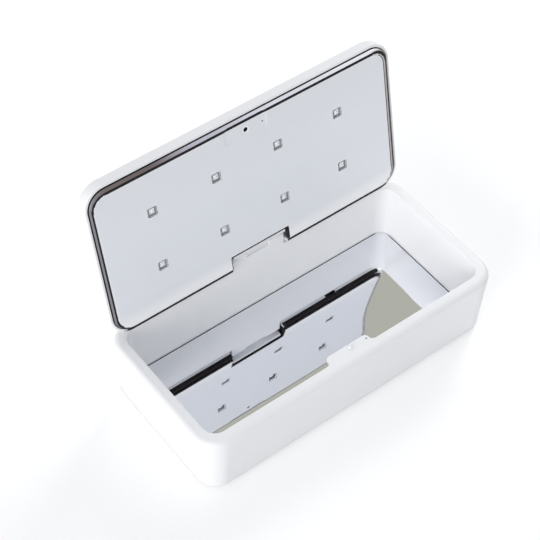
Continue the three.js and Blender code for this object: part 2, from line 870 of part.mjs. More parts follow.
function statusLightPipe() {
  const flangeZ = underCeilingZ - lightFlangeThickness;
  return turned(lightX, buttonY, [
    [0, boardTopZ + fitGap],
    [lightRadius, boardTopZ + fitGap],
    [lightRadius, flangeZ],
    [lightFlangeRadius, flangeZ],
    [lightFlangeRadius, underCeilingZ],
    [lightRadius, underCeilingZ],
    [lightRadius, lidTopZ],
    [0, lidTopZ],
  ], smallSides);
}

// The battery cells lie against the ceiling between the two rows of LEDs
function batteryCell(side) {
  const x = batteryX + (side * batterySpacing) / 2;
  const footZ = underCeilingZ - batteryThickness;
  return roundedAt(x, batteryY, batteryLength, batteryDepth, footZ, underCeilingZ, batteryRounding);
}

function controlBoard() {
  return blockAt(controlX, controlY, controlLength, controlDepth, controlUnderZ, controlTopZ);
}

// The inlet: a flat metal shell with a tongue, open through the lid's rear wall
function usbSocket() {
  const mouthY = lidOutline.back - socketRecess;
  const y = mouthY - socketDepth / 2;
  const midZ = (socketUnderZ + socketTopZ) / 2;
  const innerWidth = socketWidth - 2 * socketWall;
  const hollow = blockAt(
    socketX,
    y + socketWall,
    innerWidth,
    socketDepth,
    socketUnderZ + socketWall,
    socketTopZ - socketWall,
  );
  const tongue = blockAt(
    socketX,
    y - socketWall,
    socketTongueWidth,
    socketDepth - 2 * socketWall,
    midZ - socketTongue / 2,
    midZ + socketTongue / 2,
  );
  const shell = blockAt(socketX, y, socketWidth, socketDepth, socketUnderZ, socketTopZ);
  return joined(cut(shell, hollow), tongue);
}

// The lid's hinge arm: a barrel on the pin, a web, the block that fills the tray's notch, and a
// plate that is screwed up into the lid
function armScrewPlaces() {
  return [-1, 1].map((side) => [towerX + (side * armScrewSpacing) / 2, armScrewY]);
}

function lidHingeArm() {
  const half = notchWidth / 2 - armSideGap;
  const knuckleHalf = armKnuckleWidth / 2;
  const side = new THREE.Shape();
  side.moveTo(-armBack, knuckleRadius);
  side.lineTo(-armFront, knuckleRadius);
  side.absarc(-armFront + armEdgeRadius, armEdgeRadius - armDrop, armEdgeRadius, Math.PI, Math.PI * 1.5);
  side.absarc(-armBack - armEdgeRadius, armEdgeRadius - armDrop, armEdgeRadius, Math.PI * 1.5, Math.PI * 2);
  const webBack = hingeY - bushRadius - runningGap;
  const plateFront = hingeY - armFront - armPlateReach;
  const plateBack = hingeY - armFront + armEdgeRadius;
  const holeRadius = armScrewShankRadius + fitGap;
  const screwHoles = armScrewPlaces().map(([x, y]) => {
    return post(x, y, armPlateUnderZ - overrun, armPlateTopZ + overrun, holeRadius, smallSides);
  });
  return cut(
    joined(
      drawnAcross(side, towerX - half, towerX + half),
      bar(towerX - knuckleHalf, towerX + knuckleHalf, knuckleRadius),
      block(
        towerX - knuckleHalf,
        towerX + knuckleHalf,
        hingeY - armBack - armEdgeRadius,
        webBack,
        hingeZ - armWebDrop,
        hingeZ + knuckleRadius,
      ),
      block(towerX - half, towerX + half, plateFront, plateBack, armPlateUnderZ, armPlateTopZ),
    ),
    bar(towerX - knuckleHalf - overrun, towerX + knuckleHalf + overrun, bushRadius + runningGap),
    ...screwHoles,
  );
}

function armScrew(x, y) {
  return turned(x, y, [
    [0, armScrewSeatZ - armScrewHeadHeight],
    [armScrewHeadRadius, armScrewSeatZ - armScrewHeadHeight],
    [armScrewHeadRadius, armScrewSeatZ],
    [armScrewShankRadius, armScrewSeatZ],
    [armScrewShankRadius, armScrewTipZ],
    [0, armScrewTipZ],
  ], smallSides);
}

// The tub and everything fixed to it
const base = new THREE.Group();
base.add(
  named("base_outer_shell", baseOuterShell(), whiteShell),
  named("inner_tub", innerTub(), whiteLiner),
  named("floor_mirror_plate", floorMirrorPlate(), polishedSteel),
  named("interlock_pin", interlockPin(), clearPlastic),
  named("tab_magnet", tabMagnet(), plainSteel),
  named("bottom_cover", bottomCover(), whiteShell),
  named("hinge_pin", hingePin(), plainSteel),
);
screwPlaces().forEach(([x, y], i) => {
  base.add(named(`bottom_screw_${i + 1}`, bottomScrew(x, y), plainSteel));
  base.add(named(`foot_${i + 1}`, foot(x, y), greyRubber));
});

// The lid and everything that turns with it, modelled shut
const lid = new THREE.Group();
lid.add(
  named("lid_outer_shell", lidOuterShell(), whiteShell),
  named("lid_mirror_tray", lidMirrorTray(), satinSteel),
  named("lid_hinge_arm", lidHingeArm(), whiteShell),
  named("hinge_bush_left", hingeBush(-1), nylon),
  named("hinge_bush_right", hingeBush(1), nylon),
  named("led_board_front", ledBoard(ledFrontY), darkBoard),
  named("led_board_rear", ledBoard(ledRearY), darkBoard),
  named("interlock_switch", interlockSwitch(), darkPlastic),
  named("interlock_plunger", interlockPlunger(), darkPlastic),
  named("magnet_sensor", magnetSensor(), darkPlastic),
  named("power_button", powerButton(), whiteShell),
  named("button_switch", buttonSwitch(), darkPlastic),
  named("status_light_pipe", statusLightPipe(), clearPlastic),
  named("battery_cell_1", batteryCell(-1), foil),
  named("battery_cell_2", batteryCell(1), foil),
  named("control_board", controlBoard(), greenBoard),
  named("usb_socket", usbSocket(), plainSteel),
);
ledPlaces().forEach(([x, y], i) => {
  lid.add(named(`uv_led_${i + 1}`, uvLed(x, y), ceramic));
});
armScrewPlaces().forEach(([x, y], i) => {
  lid.add(named(`arm_screw_${i + 1}`, armScrew(x, y), plainSteel));
});
lid.position.set(0, -hingeY, -hingeZ);

// The hinge turns the whole lid open
const hinge = new THREE.Group();
hinge.position.set(0, hingeY, hingeZ);
hinge.rotation.x = -THREE.MathUtils.degToRad(lidOpenAngle);
hinge.add(lid);

const sterilizingBox = new THREE.Group();
sterilizingBox.add(base, hinge);

export default sterilizingBox;
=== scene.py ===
import math

import bmesh
import bpy
from mathutils import Matrix, Vector, noise


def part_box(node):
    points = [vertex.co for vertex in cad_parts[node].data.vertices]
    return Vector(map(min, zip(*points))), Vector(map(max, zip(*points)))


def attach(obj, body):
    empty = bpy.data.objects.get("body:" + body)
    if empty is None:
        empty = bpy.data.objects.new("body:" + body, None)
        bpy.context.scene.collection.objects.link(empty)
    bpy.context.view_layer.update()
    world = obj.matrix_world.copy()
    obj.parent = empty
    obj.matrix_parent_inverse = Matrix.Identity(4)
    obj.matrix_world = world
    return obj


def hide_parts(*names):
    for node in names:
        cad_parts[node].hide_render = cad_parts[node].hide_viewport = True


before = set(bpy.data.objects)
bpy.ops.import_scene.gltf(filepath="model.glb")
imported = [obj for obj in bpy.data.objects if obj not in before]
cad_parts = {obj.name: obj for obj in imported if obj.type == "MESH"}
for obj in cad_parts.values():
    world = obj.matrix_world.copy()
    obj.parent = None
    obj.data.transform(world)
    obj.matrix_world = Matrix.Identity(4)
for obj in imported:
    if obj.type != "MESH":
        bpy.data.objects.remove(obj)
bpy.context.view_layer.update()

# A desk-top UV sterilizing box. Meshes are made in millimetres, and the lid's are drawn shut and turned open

MM = 0.001

# The camera that took the photograph, found from the edges in it
CAMERA_PLACE = (-432.22, -516.71, 894.11)
CAMERA_YAW = 37.85
CAMERA_PITCH = 50.09
CAMERA_ROLL = 0.90
SENSOR_WIDTH = 36.0
LENS = 104.734

# The tub, as in the CAD
BASE_LENGTH = 250.0
BASE_DEPTH = 121.0
BASE_HEIGHT = 54.5
BASE_CORNER = 17.5
BASE_DRAFT = 3.0
BASE_TOP_ROUNDING = 4.0
BASE_BOTTOM_ROUNDING = 2.5
BASE_WALL = 2.2
LIP_WIDTH = 5.0
LIP_THICKNESS = 1.6
LEDGE_THICKNESS = 2.0
FIT_GAP = 0.3
SEAM = 0.03
SLOT_GAP = 0.06
MOUTH_INSET = 9.0
MOUTH_CORNER = 10.0
MOUTH_ROUNDING = 0.6
LINER_WALL = 1.8
LINER_DRAFT = 0.4
LINER_FLOOR = 1.8
LINER_UNDER_ROUNDING = 3.0
FLANGE_THICKNESS = 2.0
CAVITY_DEPTH = 47.5
MIRROR_THICKNESS = 0.8
TAB_X = -0.8
TAB_WIDTH = 35.0
TAB_REACH = 6.3
TAB_CORNER = 3.0
TAB_THICKNESS = 2.4
TAB_EDGE = 0.5
PIN_X = 0.6
PIN_INSET = 12.0
PIN_BORE = 1.8
PIN_BORE_DEPTH = 5.8
PIN_BOSS_WALL = 1.6
PIN_BOSS_FLOOR = 1.3
PIN_SHANK = 1.5
PIN_SHANK_LENGTH = 5.5
PIN_COLLAR = 2.9
PIN_COLLAR_RISE = 0.35
PIN_COLLAR_EDGE = 0.15
PIN_GROOVE = 0.5
PIN_GROOVE_RISE = 0.15
PIN_DOME = 1.25
PIN_RISE = 1.9
MAGNET_X = 14.3
MAGNET_BORE = 0.8
FOOT_COUNT = 4
FOOT_ROUNDING = 0.5

# The hinge
HINGE_INSET = 5.0
HINGE_HEIGHT = 8.5
OPEN_ANGLE = 101.5
TOWER_X = -1.3
TOWER_WIDTH = 45.0
KNUCKLE_WIDTH = 19.0
KNUCKLE_RADIUS = 3.1
TOWER_BACK_TRIM = 0.5
PIN_HOLE = 1.4
BARREL_HOLE = 2.1
WEB_DROP = 1.5
HINGE_EDGE = 0.35

# The lid
LID_SIDE_INSET = 1.6
LID_OVERHANG = 0.8
LID_CORNER = 16.5
LID_SHELL_HEIGHT = 11.5
LID_TOP_ROUNDING = 5.5
LID_RIM_ROUNDING = 1.0
LID_WALL = 2.0
CLOSED_GAP = 0.3
REAR_BAND = 3.2
TRAY_PROUD = 2.1
TRAY_INSET = 2.8
TRAY_ROUNDING = 3.8
TRAY_ROUNDING_DROP = 1.5
TRAY_SHEET = 0.8
TRAY_WALL_RISE = 1.6
NOTCH_WIDTH = 47.6
NOTCH_DEPTH = 13.8
NOTCH_ROUNDING = 0.8
NOTCH_INNER_RADIUS = 0.4
NOTCH_OUTER_RADIUS = 1.2
# The painted dark line along the notch's edge: how deep it goes before the painted glint starts, and how far
# it reaches
NOTCH_LINE_DROP = 3.0
NOTCH_LINE = 0.85
WINDOW_SIZE = 6.8
WINDOW_RADIUS = 0.6
WINDOW_CHAMFER = 0.22
WINDOW_LIP = 0.2
SIGHT_HOLE_RADIUS = 1.7
SIGHT_RING = 0.9
SIGHT_RING_DEPTH = 0.12
DOT_RADIUS = 0.6
RELIEF_WIDTH = 36.0
RELIEF_DEPTH = 16.5
RELIEF_SINK = 0.35
RELIEF_SLOPE = 2.6
RELIEF_RADIUS = 4.0
LED_X = -1.8
LED_PITCH = 50.7
LED_COLUMNS = 4
LED_FRONT_Y = -24.3
LED_REAR_Y = 20.7
LED_SETBACK = 1.0
LED_SIZE = 3.8
LED_THICKNESS = 1.0
LED_CORNER = 0.25
LED_EDGE = 0.1
LED_RIM = 0.6
LED_WELL_SLOPE = 0.15
LED_WELL_DEPTH = 0.2
LED_WELL_REACH = 1.35
LED_WELL_CORNER = 0.12
LENS_RADIUS = 1.15
LENS_RISE = 0.5
LENS_FOOT = 0.15
LENS_SINK = 0.25
SOCKET_X = 70.0
SOCKET_HALF = 4.8
SLOT_START = 0.6

# The start button, with its dish as [radius, depth] places, and the status light
BUTTON_RADIUS = 6.5
BUTTON_STEM = 2.5
BUTTON_FLANGE = 7.7
BUTTON_FLANGE_THICKNESS = 1.2
BUTTON_EDGE = 0.5
BUTTON_DISH = ((5.3, 0.12), (4.2, 0.26), (2.4, 0.3))
LIGHT_SPACING = 11.0
LIGHT_HOLE = 1.6
LIGHT_RADIUS = 1.3
LIGHT_FLANGE = 2.2
LIGHT_FLANGE_THICKNESS = 1.0
LIGHT_EDGE = 0.3
LIGHT_EDGE_DROP = 0.25

# The lid's hinge arm
ARM_DEPTH = 3.1
ARM_DROP = 7.0
ARM_SIDE_GAP = 1.5
ARM_EDGE_RADIUS = 1.0
ARM_PLATE_REACH = 13.0
ARM_PLATE_THICKNESS = 1.8
ARM_PLATE_RISE = 0.5
ARM_SCREW_SPACING = 30.0
ARM_SCREW_HOLE = 1.3

# The room round the box, as the polished metal sees it
ROOM_LIGHT = (0.93, 0.95, 0.97)
ROOM_DARK = (0.502, 0.502, 0.428)
ROOM_DARK_WAY = (0.45, 0.45, 0.778)
ROOM_DARK_INNER = 12.0
ROOM_DARK_OUTER = 26.0

# The studio: its floor in millimetres, and its lamps and the start of the camera's sight in metres
FLOOR_TONE = (0.92, 0.92, 0.92)
FLOOR_GLOW = 0.185
FLOOR_REACH = 3000.0
FLOOR_LEVEL = -1.02
SOFT_TONE = (0.93, 0.955, 1.0)
SOFT_LEVEL = 0.6
LAMP_TONE = (1.0, 0.985, 0.96)
LAMP_TARGET = (0, 0, 0.04)
LEFT_LAMP = {"place": (-2.9, -0.85, 1.0), "size": 2.0, "power": 62.0}
BACK_LAMP = {"place": (1.15, 0.6, 0.85), "size": 0.6, "power": 8.5}
CLIP_START = 0.01

# The tray's finishes, and the shares of its edge's turn where face, fine painted dark line, inner band and
# main painted dark line end
FACE_FINISH, PAINTED_DARK_FINISH, PAINTED_REFLECTION_FINISH, PAINTED_GLINT_FINISH = range(4)
FRONT_STOPS = (0.0, 0.0, 0.0, 0.29)
LEFT_STOPS = (0.22, 0.22, 0.22, 0.50)
RIGHT_STOPS = (0.0, 0.07, 0.30, 1.0)
HINGE_STOPS = (0.22, 0.22, 0.46, 1.0)

# The tones of the tray's face, as shares of its span from the front to the hinge, lighter toward the hinge
# by a painted sheen
TRAY_TONES_AND_PAINTED_SHEEN = (
    (0.0, (0.76, 0.78, 0.81)),
    (0.5, (0.80, 0.82, 0.86)),
    (0.86, (0.84, 0.86, 0.895)),
    (1.0, (0.93, 0.93, 0.94)),
)
TRAY_SPAN = 58.0

# The painted reflection tones of the band along that edge, from the lid's left end to its right
BAND_SPAN = 125.0
PAINTED_REFLECTION_TONES = (
    (0.02, (0.20, 0.20, 0.22)),
    (0.08, (0.16, 0.13, 0.12)),
    (0.20, (0.15, 0.12, 0.12)),
    (0.36, (0.55, 0.53, 0.62)),
    (0.62, (0.80, 0.78, 0.86)),
    (0.93, (0.93, 0.92, 0.96)),
    (0.985, (0.42, 0.34, 0.32)),
)

# The floor plate: its gap to the wall, the width of its painted shade edge, grid and sheet, how it leans,
# and its slow and quick waves
PLATE_GAP = 0.35
PLATE_SHADE_EDGE = 0.55
PLATE_STEP = 2.0
PLATE_SINK = 0.02
PLATE_THICKNESS = 0.2
PLATE_LEAN = (0.028, 0.0047, -0.0058, 0.0285)
PLATE_LEAN_START = 15.0
PLATE_LEAN_SPAN = 35.0
PLATE_LEAN_FROM = -15.5
PLATE_LEAN_TO = 24.0
PLATE_SIDE_LEAN = 0.0076
SLOW_WAVE = 0.02
SLOW_WAVE_LENGTH = 55.0
SLOW_WAVE_SEED = 3.7
QUICK_WAVE = 0.03
QUICK_WAVE_LENGTH = 17.0
QUICK_WAVE_SEED = 8.1
QUICK_WAVE_REACH = 40.0
SLOPE_STEP = 0.5

# How finely round forms are divided, and the small lengths and angles that meshes are made with
CORNER_STEPS = 20
ROUNDING_STEPS = 8
EDGE_STEPS = 16
ROUND_SIDES = 48
SMALL_SIDES = 24
SUPPORT = 0.25
OVERRUN = 1.0
TINY = 0.01
POINT = 0.02
SMOOTH_ANGLE = 32.0
SOFT_ANGLE = 60.0
EVEN_WEIGHT = 100
BEVEL_STEPS = 3
BEVEL_ANGLE = 40.0

# How much of a face's direction lies along an axis, to tell the faces of a piece apart
HALF_LEVEL = 0.5
NEARLY_LEVEL = 0.95
SLOPING = (0.9, 0.999)

# The share of the depth of the tray's rounding beyond which its wall starts
SHOULDER_SHARE = 0.98

# The finishes: the part of a noise's range that counts, its details, the boards' tracks and uneven gloss
NOISE_RANGE = (0.3, 0.7)
PLAIN_DETAIL = 3.0
FINE_DETAIL = 2.0
TRACK_DETAIL = 1.0
TRACK_STRETCH = (1.0, 3.0, 1.0)
TRACK_SHADE = 0.8
MOULD_GLOSS = (0.9, 1.12)
METAL_GLOSS = (0.8, 1.25)

# Where a mix node has its two colours and its result
MIX_FIRST = 6
MIX_SECOND = 7
MIX_RESULT = 2

# Places that follow from the sizes above
RIM_Z = BASE_HEIGHT
FLANGE_UNDER_Z = RIM_Z - FLANGE_THICKNESS
FLOOR_Z = RIM_Z - CAVITY_DEPTH
LINER_FLOOR_Z = FLOOR_Z - MIRROR_THICKNESS
LINER_UNDER_Z = LINER_FLOOR_Z - LINER_FLOOR
HINGE_Y = BASE_DEPTH / 2 - HINGE_INSET
HINGE_Z = RIM_Z + HINGE_HEIGHT
TRAY_FACE_Z = RIM_Z + CLOSED_GAP
TRAY_BACK_Z = TRAY_FACE_Z + TRAY_SHEET
LID_RIM_Z = TRAY_FACE_Z + TRAY_PROUD
LID_TOP_Z = LID_RIM_Z + LID_SHELL_HEIGHT
CEILING_Z = LID_TOP_Z - LID_WALL
PIN_Y = -BASE_DEPTH / 2 + PIN_INSET
BASE_OUTLINE = (-BASE_LENGTH / 2, BASE_LENGTH / 2, -BASE_DEPTH / 2, BASE_DEPTH / 2, BASE_CORNER)
LINER_OUTLINE = BASE_OUTLINE[:4] + (MOUTH_INSET + MOUTH_CORNER,)
LID_OUTLINE = (
    -BASE_LENGTH / 2 + LID_SIDE_INSET,
    BASE_LENGTH / 2 - LID_SIDE_INSET,
    -BASE_DEPTH / 2 - LID_OVERHANG,
    BASE_DEPTH / 2 + LID_OVERHANG,
    LID_CORNER,
)
TRAY_OUTLINE = (
    LID_OUTLINE[0] + TRAY_INSET,
    LID_OUTLINE[1] - TRAY_INSET,
    LID_OUTLINE[2] + TRAY_INSET,
    LID_OUTLINE[3] - TRAY_INSET,
    LID_CORNER - TRAY_INSET,
)
NOTCH_LEFT = TOWER_X - NOTCH_WIDTH / 2
NOTCH_RIGHT = TOWER_X + NOTCH_WIDTH / 2
NOTCH_FRONT = LID_OUTLINE[3] - NOTCH_DEPTH
LID_TURN = (
    Matrix.Translation((0, HINGE_Y, HINGE_Z))
    @ Matrix.Rotation(-math.radians(OPEN_ANGLE), 4, "X")
    @ Matrix.Translation((0, -HINGE_Y, -HINGE_Z))
)
HINGE_WAY = LID_TURN.to_3x3() @ Vector((0, 1, 0))


# Points and rings
def arc(x, y, radius, start, end, z, steps=CORNER_STEPS):
    points = []
    for step in range(steps + 1):
        angle = math.radians(start + (end - start) * step / steps)
        points.append((x + radius * math.cos(angle), y + radius * math.sin(angle), z))
    return points


def ring(outline, inset, z, radius=None):
    left, right, front, back, corner = outline
    if radius is None:
        radius = corner - inset
    left += inset + radius
    right -= inset + radius
    front += inset + radius
    back -= inset + radius
    return (
        arc(right, back, radius, 0, 90, z)
        + arc(left, back, radius, 90, 180, z)
        + arc(left, front, radius, 180, 270, z)
        + arc(right, front, radius, 270, 360, z)
    )


def tray_ring(inset, notch_inset, z):
    left, right, front, back, corner = TRAY_OUTLINE
    radius = corner - inset
    left += inset + radius
    right -= inset + radius
    front += inset + radius
    back -= inset
    horn = NOTCH_OUTER_RADIUS - notch_inset
    hollow = NOTCH_INNER_RADIUS + notch_inset
    hollow_y = NOTCH_FRONT + NOTCH_INNER_RADIUS
    return (
        arc(right, back - radius, radius, 0, 90, z)
        + arc(NOTCH_RIGHT + notch_inset + horn, back - horn, horn, 90, 180, z)
        + arc(NOTCH_RIGHT - NOTCH_INNER_RADIUS, hollow_y, hollow, 0, -90, z)
        + arc(NOTCH_LEFT + NOTCH_INNER_RADIUS, hollow_y, hollow, -90, -180, z)
        + arc(NOTCH_LEFT - notch_inset - horn, back - horn, horn, 0, 90, z)
        + arc(left, back - radius, radius, 90, 180, z)
        + arc(left, front, radius, 180, 270, z)
        + arc(right, front, radius, 270, 360, z)
    )


def quarter(start, end, starts_upright, steps=ROUNDING_STEPS):
    places = []
    for step in range(steps + 1):
        angle = step / steps * math.pi / 2
        slow = 1 - math.cos(angle)
        fast = math.sin(angle)
        place = []
        for i, (a, b) in enumerate(zip(start, end)):
            is_height = i == len(start) - 1
            share = fast if is_height == starts_upright else slow
            place.append(a + (b - a) * share)
        places.append(tuple(place))
    return places


def rings_of(outline, profile):
    return [ring(outline, place[0], place[1], *place[2:]) for place in profile]


# Meshes
def mesh_object(name, points, faces, turn=None):
    mesh = bpy.data.meshes.new(name)
    mesh.from_pydata([Vector(p) * MM for p in points], [], faces)
    mesh.validate()
    if turn is not None:
        turn_mesh(mesh, turn)
    mesh.update()
    return placed(name, mesh)


def placed(name, data):
    piece = bpy.data.objects.new(name, data)
    bpy.context.scene.collection.objects.link(piece)
    return piece


# Turns a mesh in metres by a turn in millimetres
def turn_mesh(mesh, turn):
    mesh.transform(Matrix.Scale(MM, 4) @ turn @ Matrix.Scale(1 / MM, 4))


def loft(name, rings, closed=False, turn=None):
    count = len(rings[0])
    points = [p for r in rings for p in r]
    faces = []
    bands = len(rings) if closed else len(rings) - 1
    for band in range(bands):
        low = band * count
        high = (band + 1) % len(rings) * count
        for i in range(count):
            j = (i + 1) % count
            faces.append((low + i, low + j, high + j, high + i))
    if not closed:
        last = (len(rings) - 1) * count
        faces.append(tuple(reversed(range(count))))
        faces.append(tuple(last + i for i in range(count)))
    return mesh_object(name, points, faces, turn)


def circle(x, y, radius, sides):
    points = []
    for side in range(sides):
        angle = 2 * math.pi * side / sides
        points.append((x + radius * math.cos(angle), y + radius * math.sin(angle)))
    return points


# A body turned round an upright axis, from [radius, height] places that go up its outside
def turned(name, x, y, profile, sides=ROUND_SIDES, turn=None):
    rings = []
    for radius, z in profile:
        rings.append([(px, py, z) for px, py in circle(x, y, radius, sides)])
    return loft(name, rings, turn=turn)


def rod(name, x, y, radius, z0, z1, sides=ROUND_SIDES, turn=None):
    return turned(name, x, y, [(radius, z0), (radius, z1)], sides, turn)


# A flat outline drawn out along X from one side to the other
def drawn_across(name, outline, x0, x1, turn=None):
    count = len(outline)
    points = [(x0, y, z) for y, z in outline] + [(x1, y, z) for y, z in outline]
    faces = [(i, (i + 1) % count, (i + 1) % count + count, i + count) for i in range(count)]
    faces.append(tuple(reversed(range(count))))
    faces.append(tuple(range(count, 2 * count)))
    return mesh_object(name, points, faces, turn)


def drawn_up(name, outline, z0, z1, turn=None):
    return loft(name, [[(x, y, z) for x, y in outline] for z in (z0, z1)], turn=turn)


def block(name, x0, x1, y0, y1, z0, z1, turn=None):
    return drawn_up(name, [(x0, y0), (x1, y0), (x1, y1), (x0, y1)], z0, z1, turn)


# A round bar along the hinge's axis
def bar(name, x0, x1, radius, turn=None):
    return drawn_across(name, circle(HINGE_Y, HINGE_Z, radius, ROUND_SIDES), x0, x1, turn)


def outward(piece):
    shape = bmesh.new()
    shape.from_mesh(piece.data)
    bmesh.ops.recalc_face_normals(shape, faces=shape.faces)
    shape.to_mesh(piece.data)
    shape.free()


def bevelled(piece, width):
    outward(piece)
    bevel = piece.modifiers.new("edge", "BEVEL")
    bevel.width = width * MM
    bevel.segments = BEVEL_STEPS
    bevel.limit_method = "ANGLE"
    bevel.angle_limit = math.radians(BEVEL_ANGLE)
    return settled(piece)


# The piece with its modifiers applied
def settled(piece):
    graph = bpy.context.evaluated_depsgraph_get()
    graph.update()
    finished = bpy.data.meshes.new_from_object(piece.evaluated_get(graph))
    spare = piece.data
    piece.modifiers.clear()
    piece.data = finished
    bpy.data.meshes.remove(spare)
    return piece


def combine(piece, tools, operation):
    for tool in tools:
        outward(tool)
        change = piece.modifiers.new("change", "BOOLEAN")
        change.object = tool
        change.operation = operation
        change.solver = "EXACT"
    settled(piece)
    for tool in tools:
        bpy.data.objects.remove(tool)
    return piece


# Divides a piece's faces along a plane through a place, without changing its form
def divide(piece, place, way):
    shape = bmesh.new()
    shape.from_mesh(piece.data)
    parts = shape.verts[:] + shape.edges[:] + shape.faces[:]
    bmesh.ops.bisect_plane(shape, geom=parts, plane_co=Vector(place) * MM, plane_no=way)
    shape.to_mesh(piece.data)
    shape.free()


def smooth(piece, angle=SMOOTH_ANGLE):
    mesh = piece.data
    mesh.polygons.foreach_set("use_smooth", [True] * len(mesh.polygons))
    mesh.set_sharp_from_angle(angle=math.radians(angle))
    mesh.update()
    even = piece.modifiers.new("even", "WEIGHTED_NORMAL")
    even.keep_sharp = True
    even.weight = EVEN_WEIGHT
    return settled(piece)


def paint(mesh, *finishes):
    mesh.materials.clear()
    for finish in finishes:
        mesh.materials.append(finish)


def dress(piece, finish, body, slot, *nodes):
    paint(piece.data, finish)
    settle_in(piece, body, slot, *nodes)


def settle_in(piece, body, slot, *nodes):
    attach(piece, body)
    if nodes:
        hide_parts(*nodes)


# Finishes
def node(tree, kind, settings=None):
    made = tree.nodes.new("ShaderNode" + kind)
    for socket, value in (settings or {}).items():
        made.inputs[socket].default_value = value
    return made


def principled(name, color, roughness, metallic=0.0):
    finish = bpy.data.materials.new(name)
    finish.use_nodes = True
    shader = finish.node_tree.nodes["Principled BSDF"]
    shader.inputs["Base Color"].default_value = (*color, 1)
    shader.inputs["Roughness"].default_value = roughness
    shader.inputs["Metallic"].default_value = metallic
    return finish, finish.node_tree, shader


# A slow or fine noise over the piece, in its own coordinates, brought into a range
def noise_value(tree, per_metre, low=0.0, high=1.0, detail=PLAIN_DETAIL, stretch=None):
    cloud = node(tree, "TexNoise", {"Scale": per_metre, "Detail": detail})
    spread = node(tree, "MapRange", {
        "From Min": NOISE_RANGE[0],
        "From Max": NOISE_RANGE[1],
        "To Min": low,
        "To Max": high,
    })
    source = node(tree, "TexCoord").outputs["Object"]
    if stretch:
        longer = node(tree, "Mapping", {"Scale": stretch})
        tree.links.new(source, longer.inputs["Vector"])
        source = longer.outputs["Vector"]
    tree.links.new(source, cloud.inputs["Vector"])
    tree.links.new(cloud.outputs["Fac"], spread.inputs["Value"])
    return spread.outputs["Result"]


def add_bump(tree, shader, height, strength, distance):
    bump = node(tree, "Bump", {"Strength": strength, "Distance": distance})
    tree.links.new(height, bump.inputs["Height"])
    tree.links.new(bump.outputs["Normal"], shader.inputs["Normal"])


def fine_grain(tree, shader, per_metre, strength, distance):
    height = noise_value(tree, per_metre, detail=FINE_DETAIL)
    add_bump(tree, shader, height, strength, distance)


def uneven_gloss(tree, shader, per_metre, low, high):
    gloss = noise_value(tree, per_metre, low, high)
    tree.links.new(gloss, shader.inputs["Roughness"])


def shade_between(tree, value, first, second):
    mix = node(tree, "Mix", {MIX_FIRST: (*first, 1), MIX_SECOND: (*second, 1)})
    mix.data_type = "RGBA"
    tree.links.new(value, mix.inputs[0])
    return mix.outputs[MIX_RESULT]


# Moulded plastic: a fine grain, a little uneven gloss and a hardly visible change of tone
def moulded(name, color, roughness, tone=0.985, grain=0.000012):
    finish, tree, shader = principled(name, color, roughness)
    darker = tuple(c * tone for c in color)
    slow = noise_value(tree, per_metre=22.0)
    tree.links.new(shade_between(tree, slow, color, darker), shader.inputs["Base Color"])
    low, high = (roughness * share for share in MOULD_GLOSS)
    uneven_gloss(tree, shader, per_metre=60.0, low=low, high=high)
    fine_grain(tree, shader, per_metre=1500.0, strength=0.25, distance=grain)
    return finish


def floor_mirror():
    color = (0.84, 0.85, 0.89)
    finish, tree, shader = principled("floor_mirror", color, roughness=0.015, metallic=1.0)
    uneven_gloss(tree, shader, per_metre=35.0, low=0.008, high=0.03)
    return finish


# How far along a direction a place lies, in the coordinates that are asked for
def length_along(tree, coordinates, way):
    place = node(tree, "TexCoord")
    along = node(tree, "VectorMath", {1: way})
    along.operation = "DOT_PRODUCT"
    tree.links.new(place.outputs[coordinates], along.inputs[0])
    return along.outputs["Value"]


# Gives the piece tones, each with its share of the way from one value to another
def tones_between(tree, shader, value, low, high, tones):
    along = node(tree, "MapRange", {"From Min": low, "From Max": high})
    ramp = node(tree, "ValToRGB")
    stops = ramp.color_ramp.elements
    ramp.color_ramp.interpolation = "EASE"
    for share, color in tones:
        stops.new(share).color = (*color, 1)
    stops.remove(stops[0])
    stops.remove(stops[-1])
    tree.links.new(value, along.inputs["Value"])
    tree.links.new(along.outputs["Result"], ramp.inputs["Fac"])
    tree.links.new(ramp.outputs["Color"], shader.inputs["Base Color"])


# How far toward the hinge a place of the shut tray lies when it is open, in metres
def toward_hinge(y):
    return (LID_TURN @ Vector((0, y, TRAY_FACE_Z))).dot(HINGE_WAY) * MM


# The tray's face is satin pressed metal, with a painted sheen that makes it a little lighter toward the
# hinge
def tray_metal():
    finish, tree, shader = principled("tray_metal", TRAY_TONES_AND_PAINTED_SHEEN[0][1], roughness=0.4, metallic=0.1)
    uneven_gloss(tree, shader, per_metre=45.0, low=0.36, high=0.42)
    value = length_along(tree, "Object", HINGE_WAY)
    tones_between(tree, shader, value, toward_hinge(-TRAY_SPAN), toward_hinge(TRAY_SPAN), TRAY_TONES_AND_PAINTED_SHEEN)
    fine_grain(tree, shader, per_metre=900.0, strength=0.1, distance=0.000005)
    return finish


# Painted dark reflections along the tray's edges, and painted shade along the edge of the floor plate and on
# the lid's rear rim
def painted_dark_line_metal():
    finish, tree, shader = principled("tray_painted_dark_line", (0.018, 0.015, 0.017), roughness=0.4)
    shader.inputs["Specular IOR Level"].default_value = 0.12
    uneven_gloss(tree, shader, per_metre=90.0, low=0.34, high=0.48)
    return finish


# The tray's rounded edge, a painted reflection: dark brown at its left end, then lilac grey, and light
# toward its right end
def painted_reflection_band_metal():
    finish, tree, shader = principled("tray_band", PAINTED_REFLECTION_TONES[0][1], roughness=0.35, metallic=0.2)
    value = length_along(tree, "Object", Vector((1, 0, 0)))
    tones_between(tree, shader, value, BAND_SPAN * -MM, BAND_SPAN * MM, PAINTED_REFLECTION_TONES)
    uneven_gloss(tree, shader, per_metre=90.0, low=0.3, high=0.42)
    return finish


def plain_metal(name, color, roughness):
    finish, tree, shader = principled(name, color, roughness, metallic=1.0)
    low, high = (roughness * share for share in METAL_GLOSS)
    uneven_gloss(tree, shader, per_metre=300.0, low=low, high=high)
    fine_grain(tree, shader, per_metre=800.0, strength=0.15, distance=0.00001)
    return finish


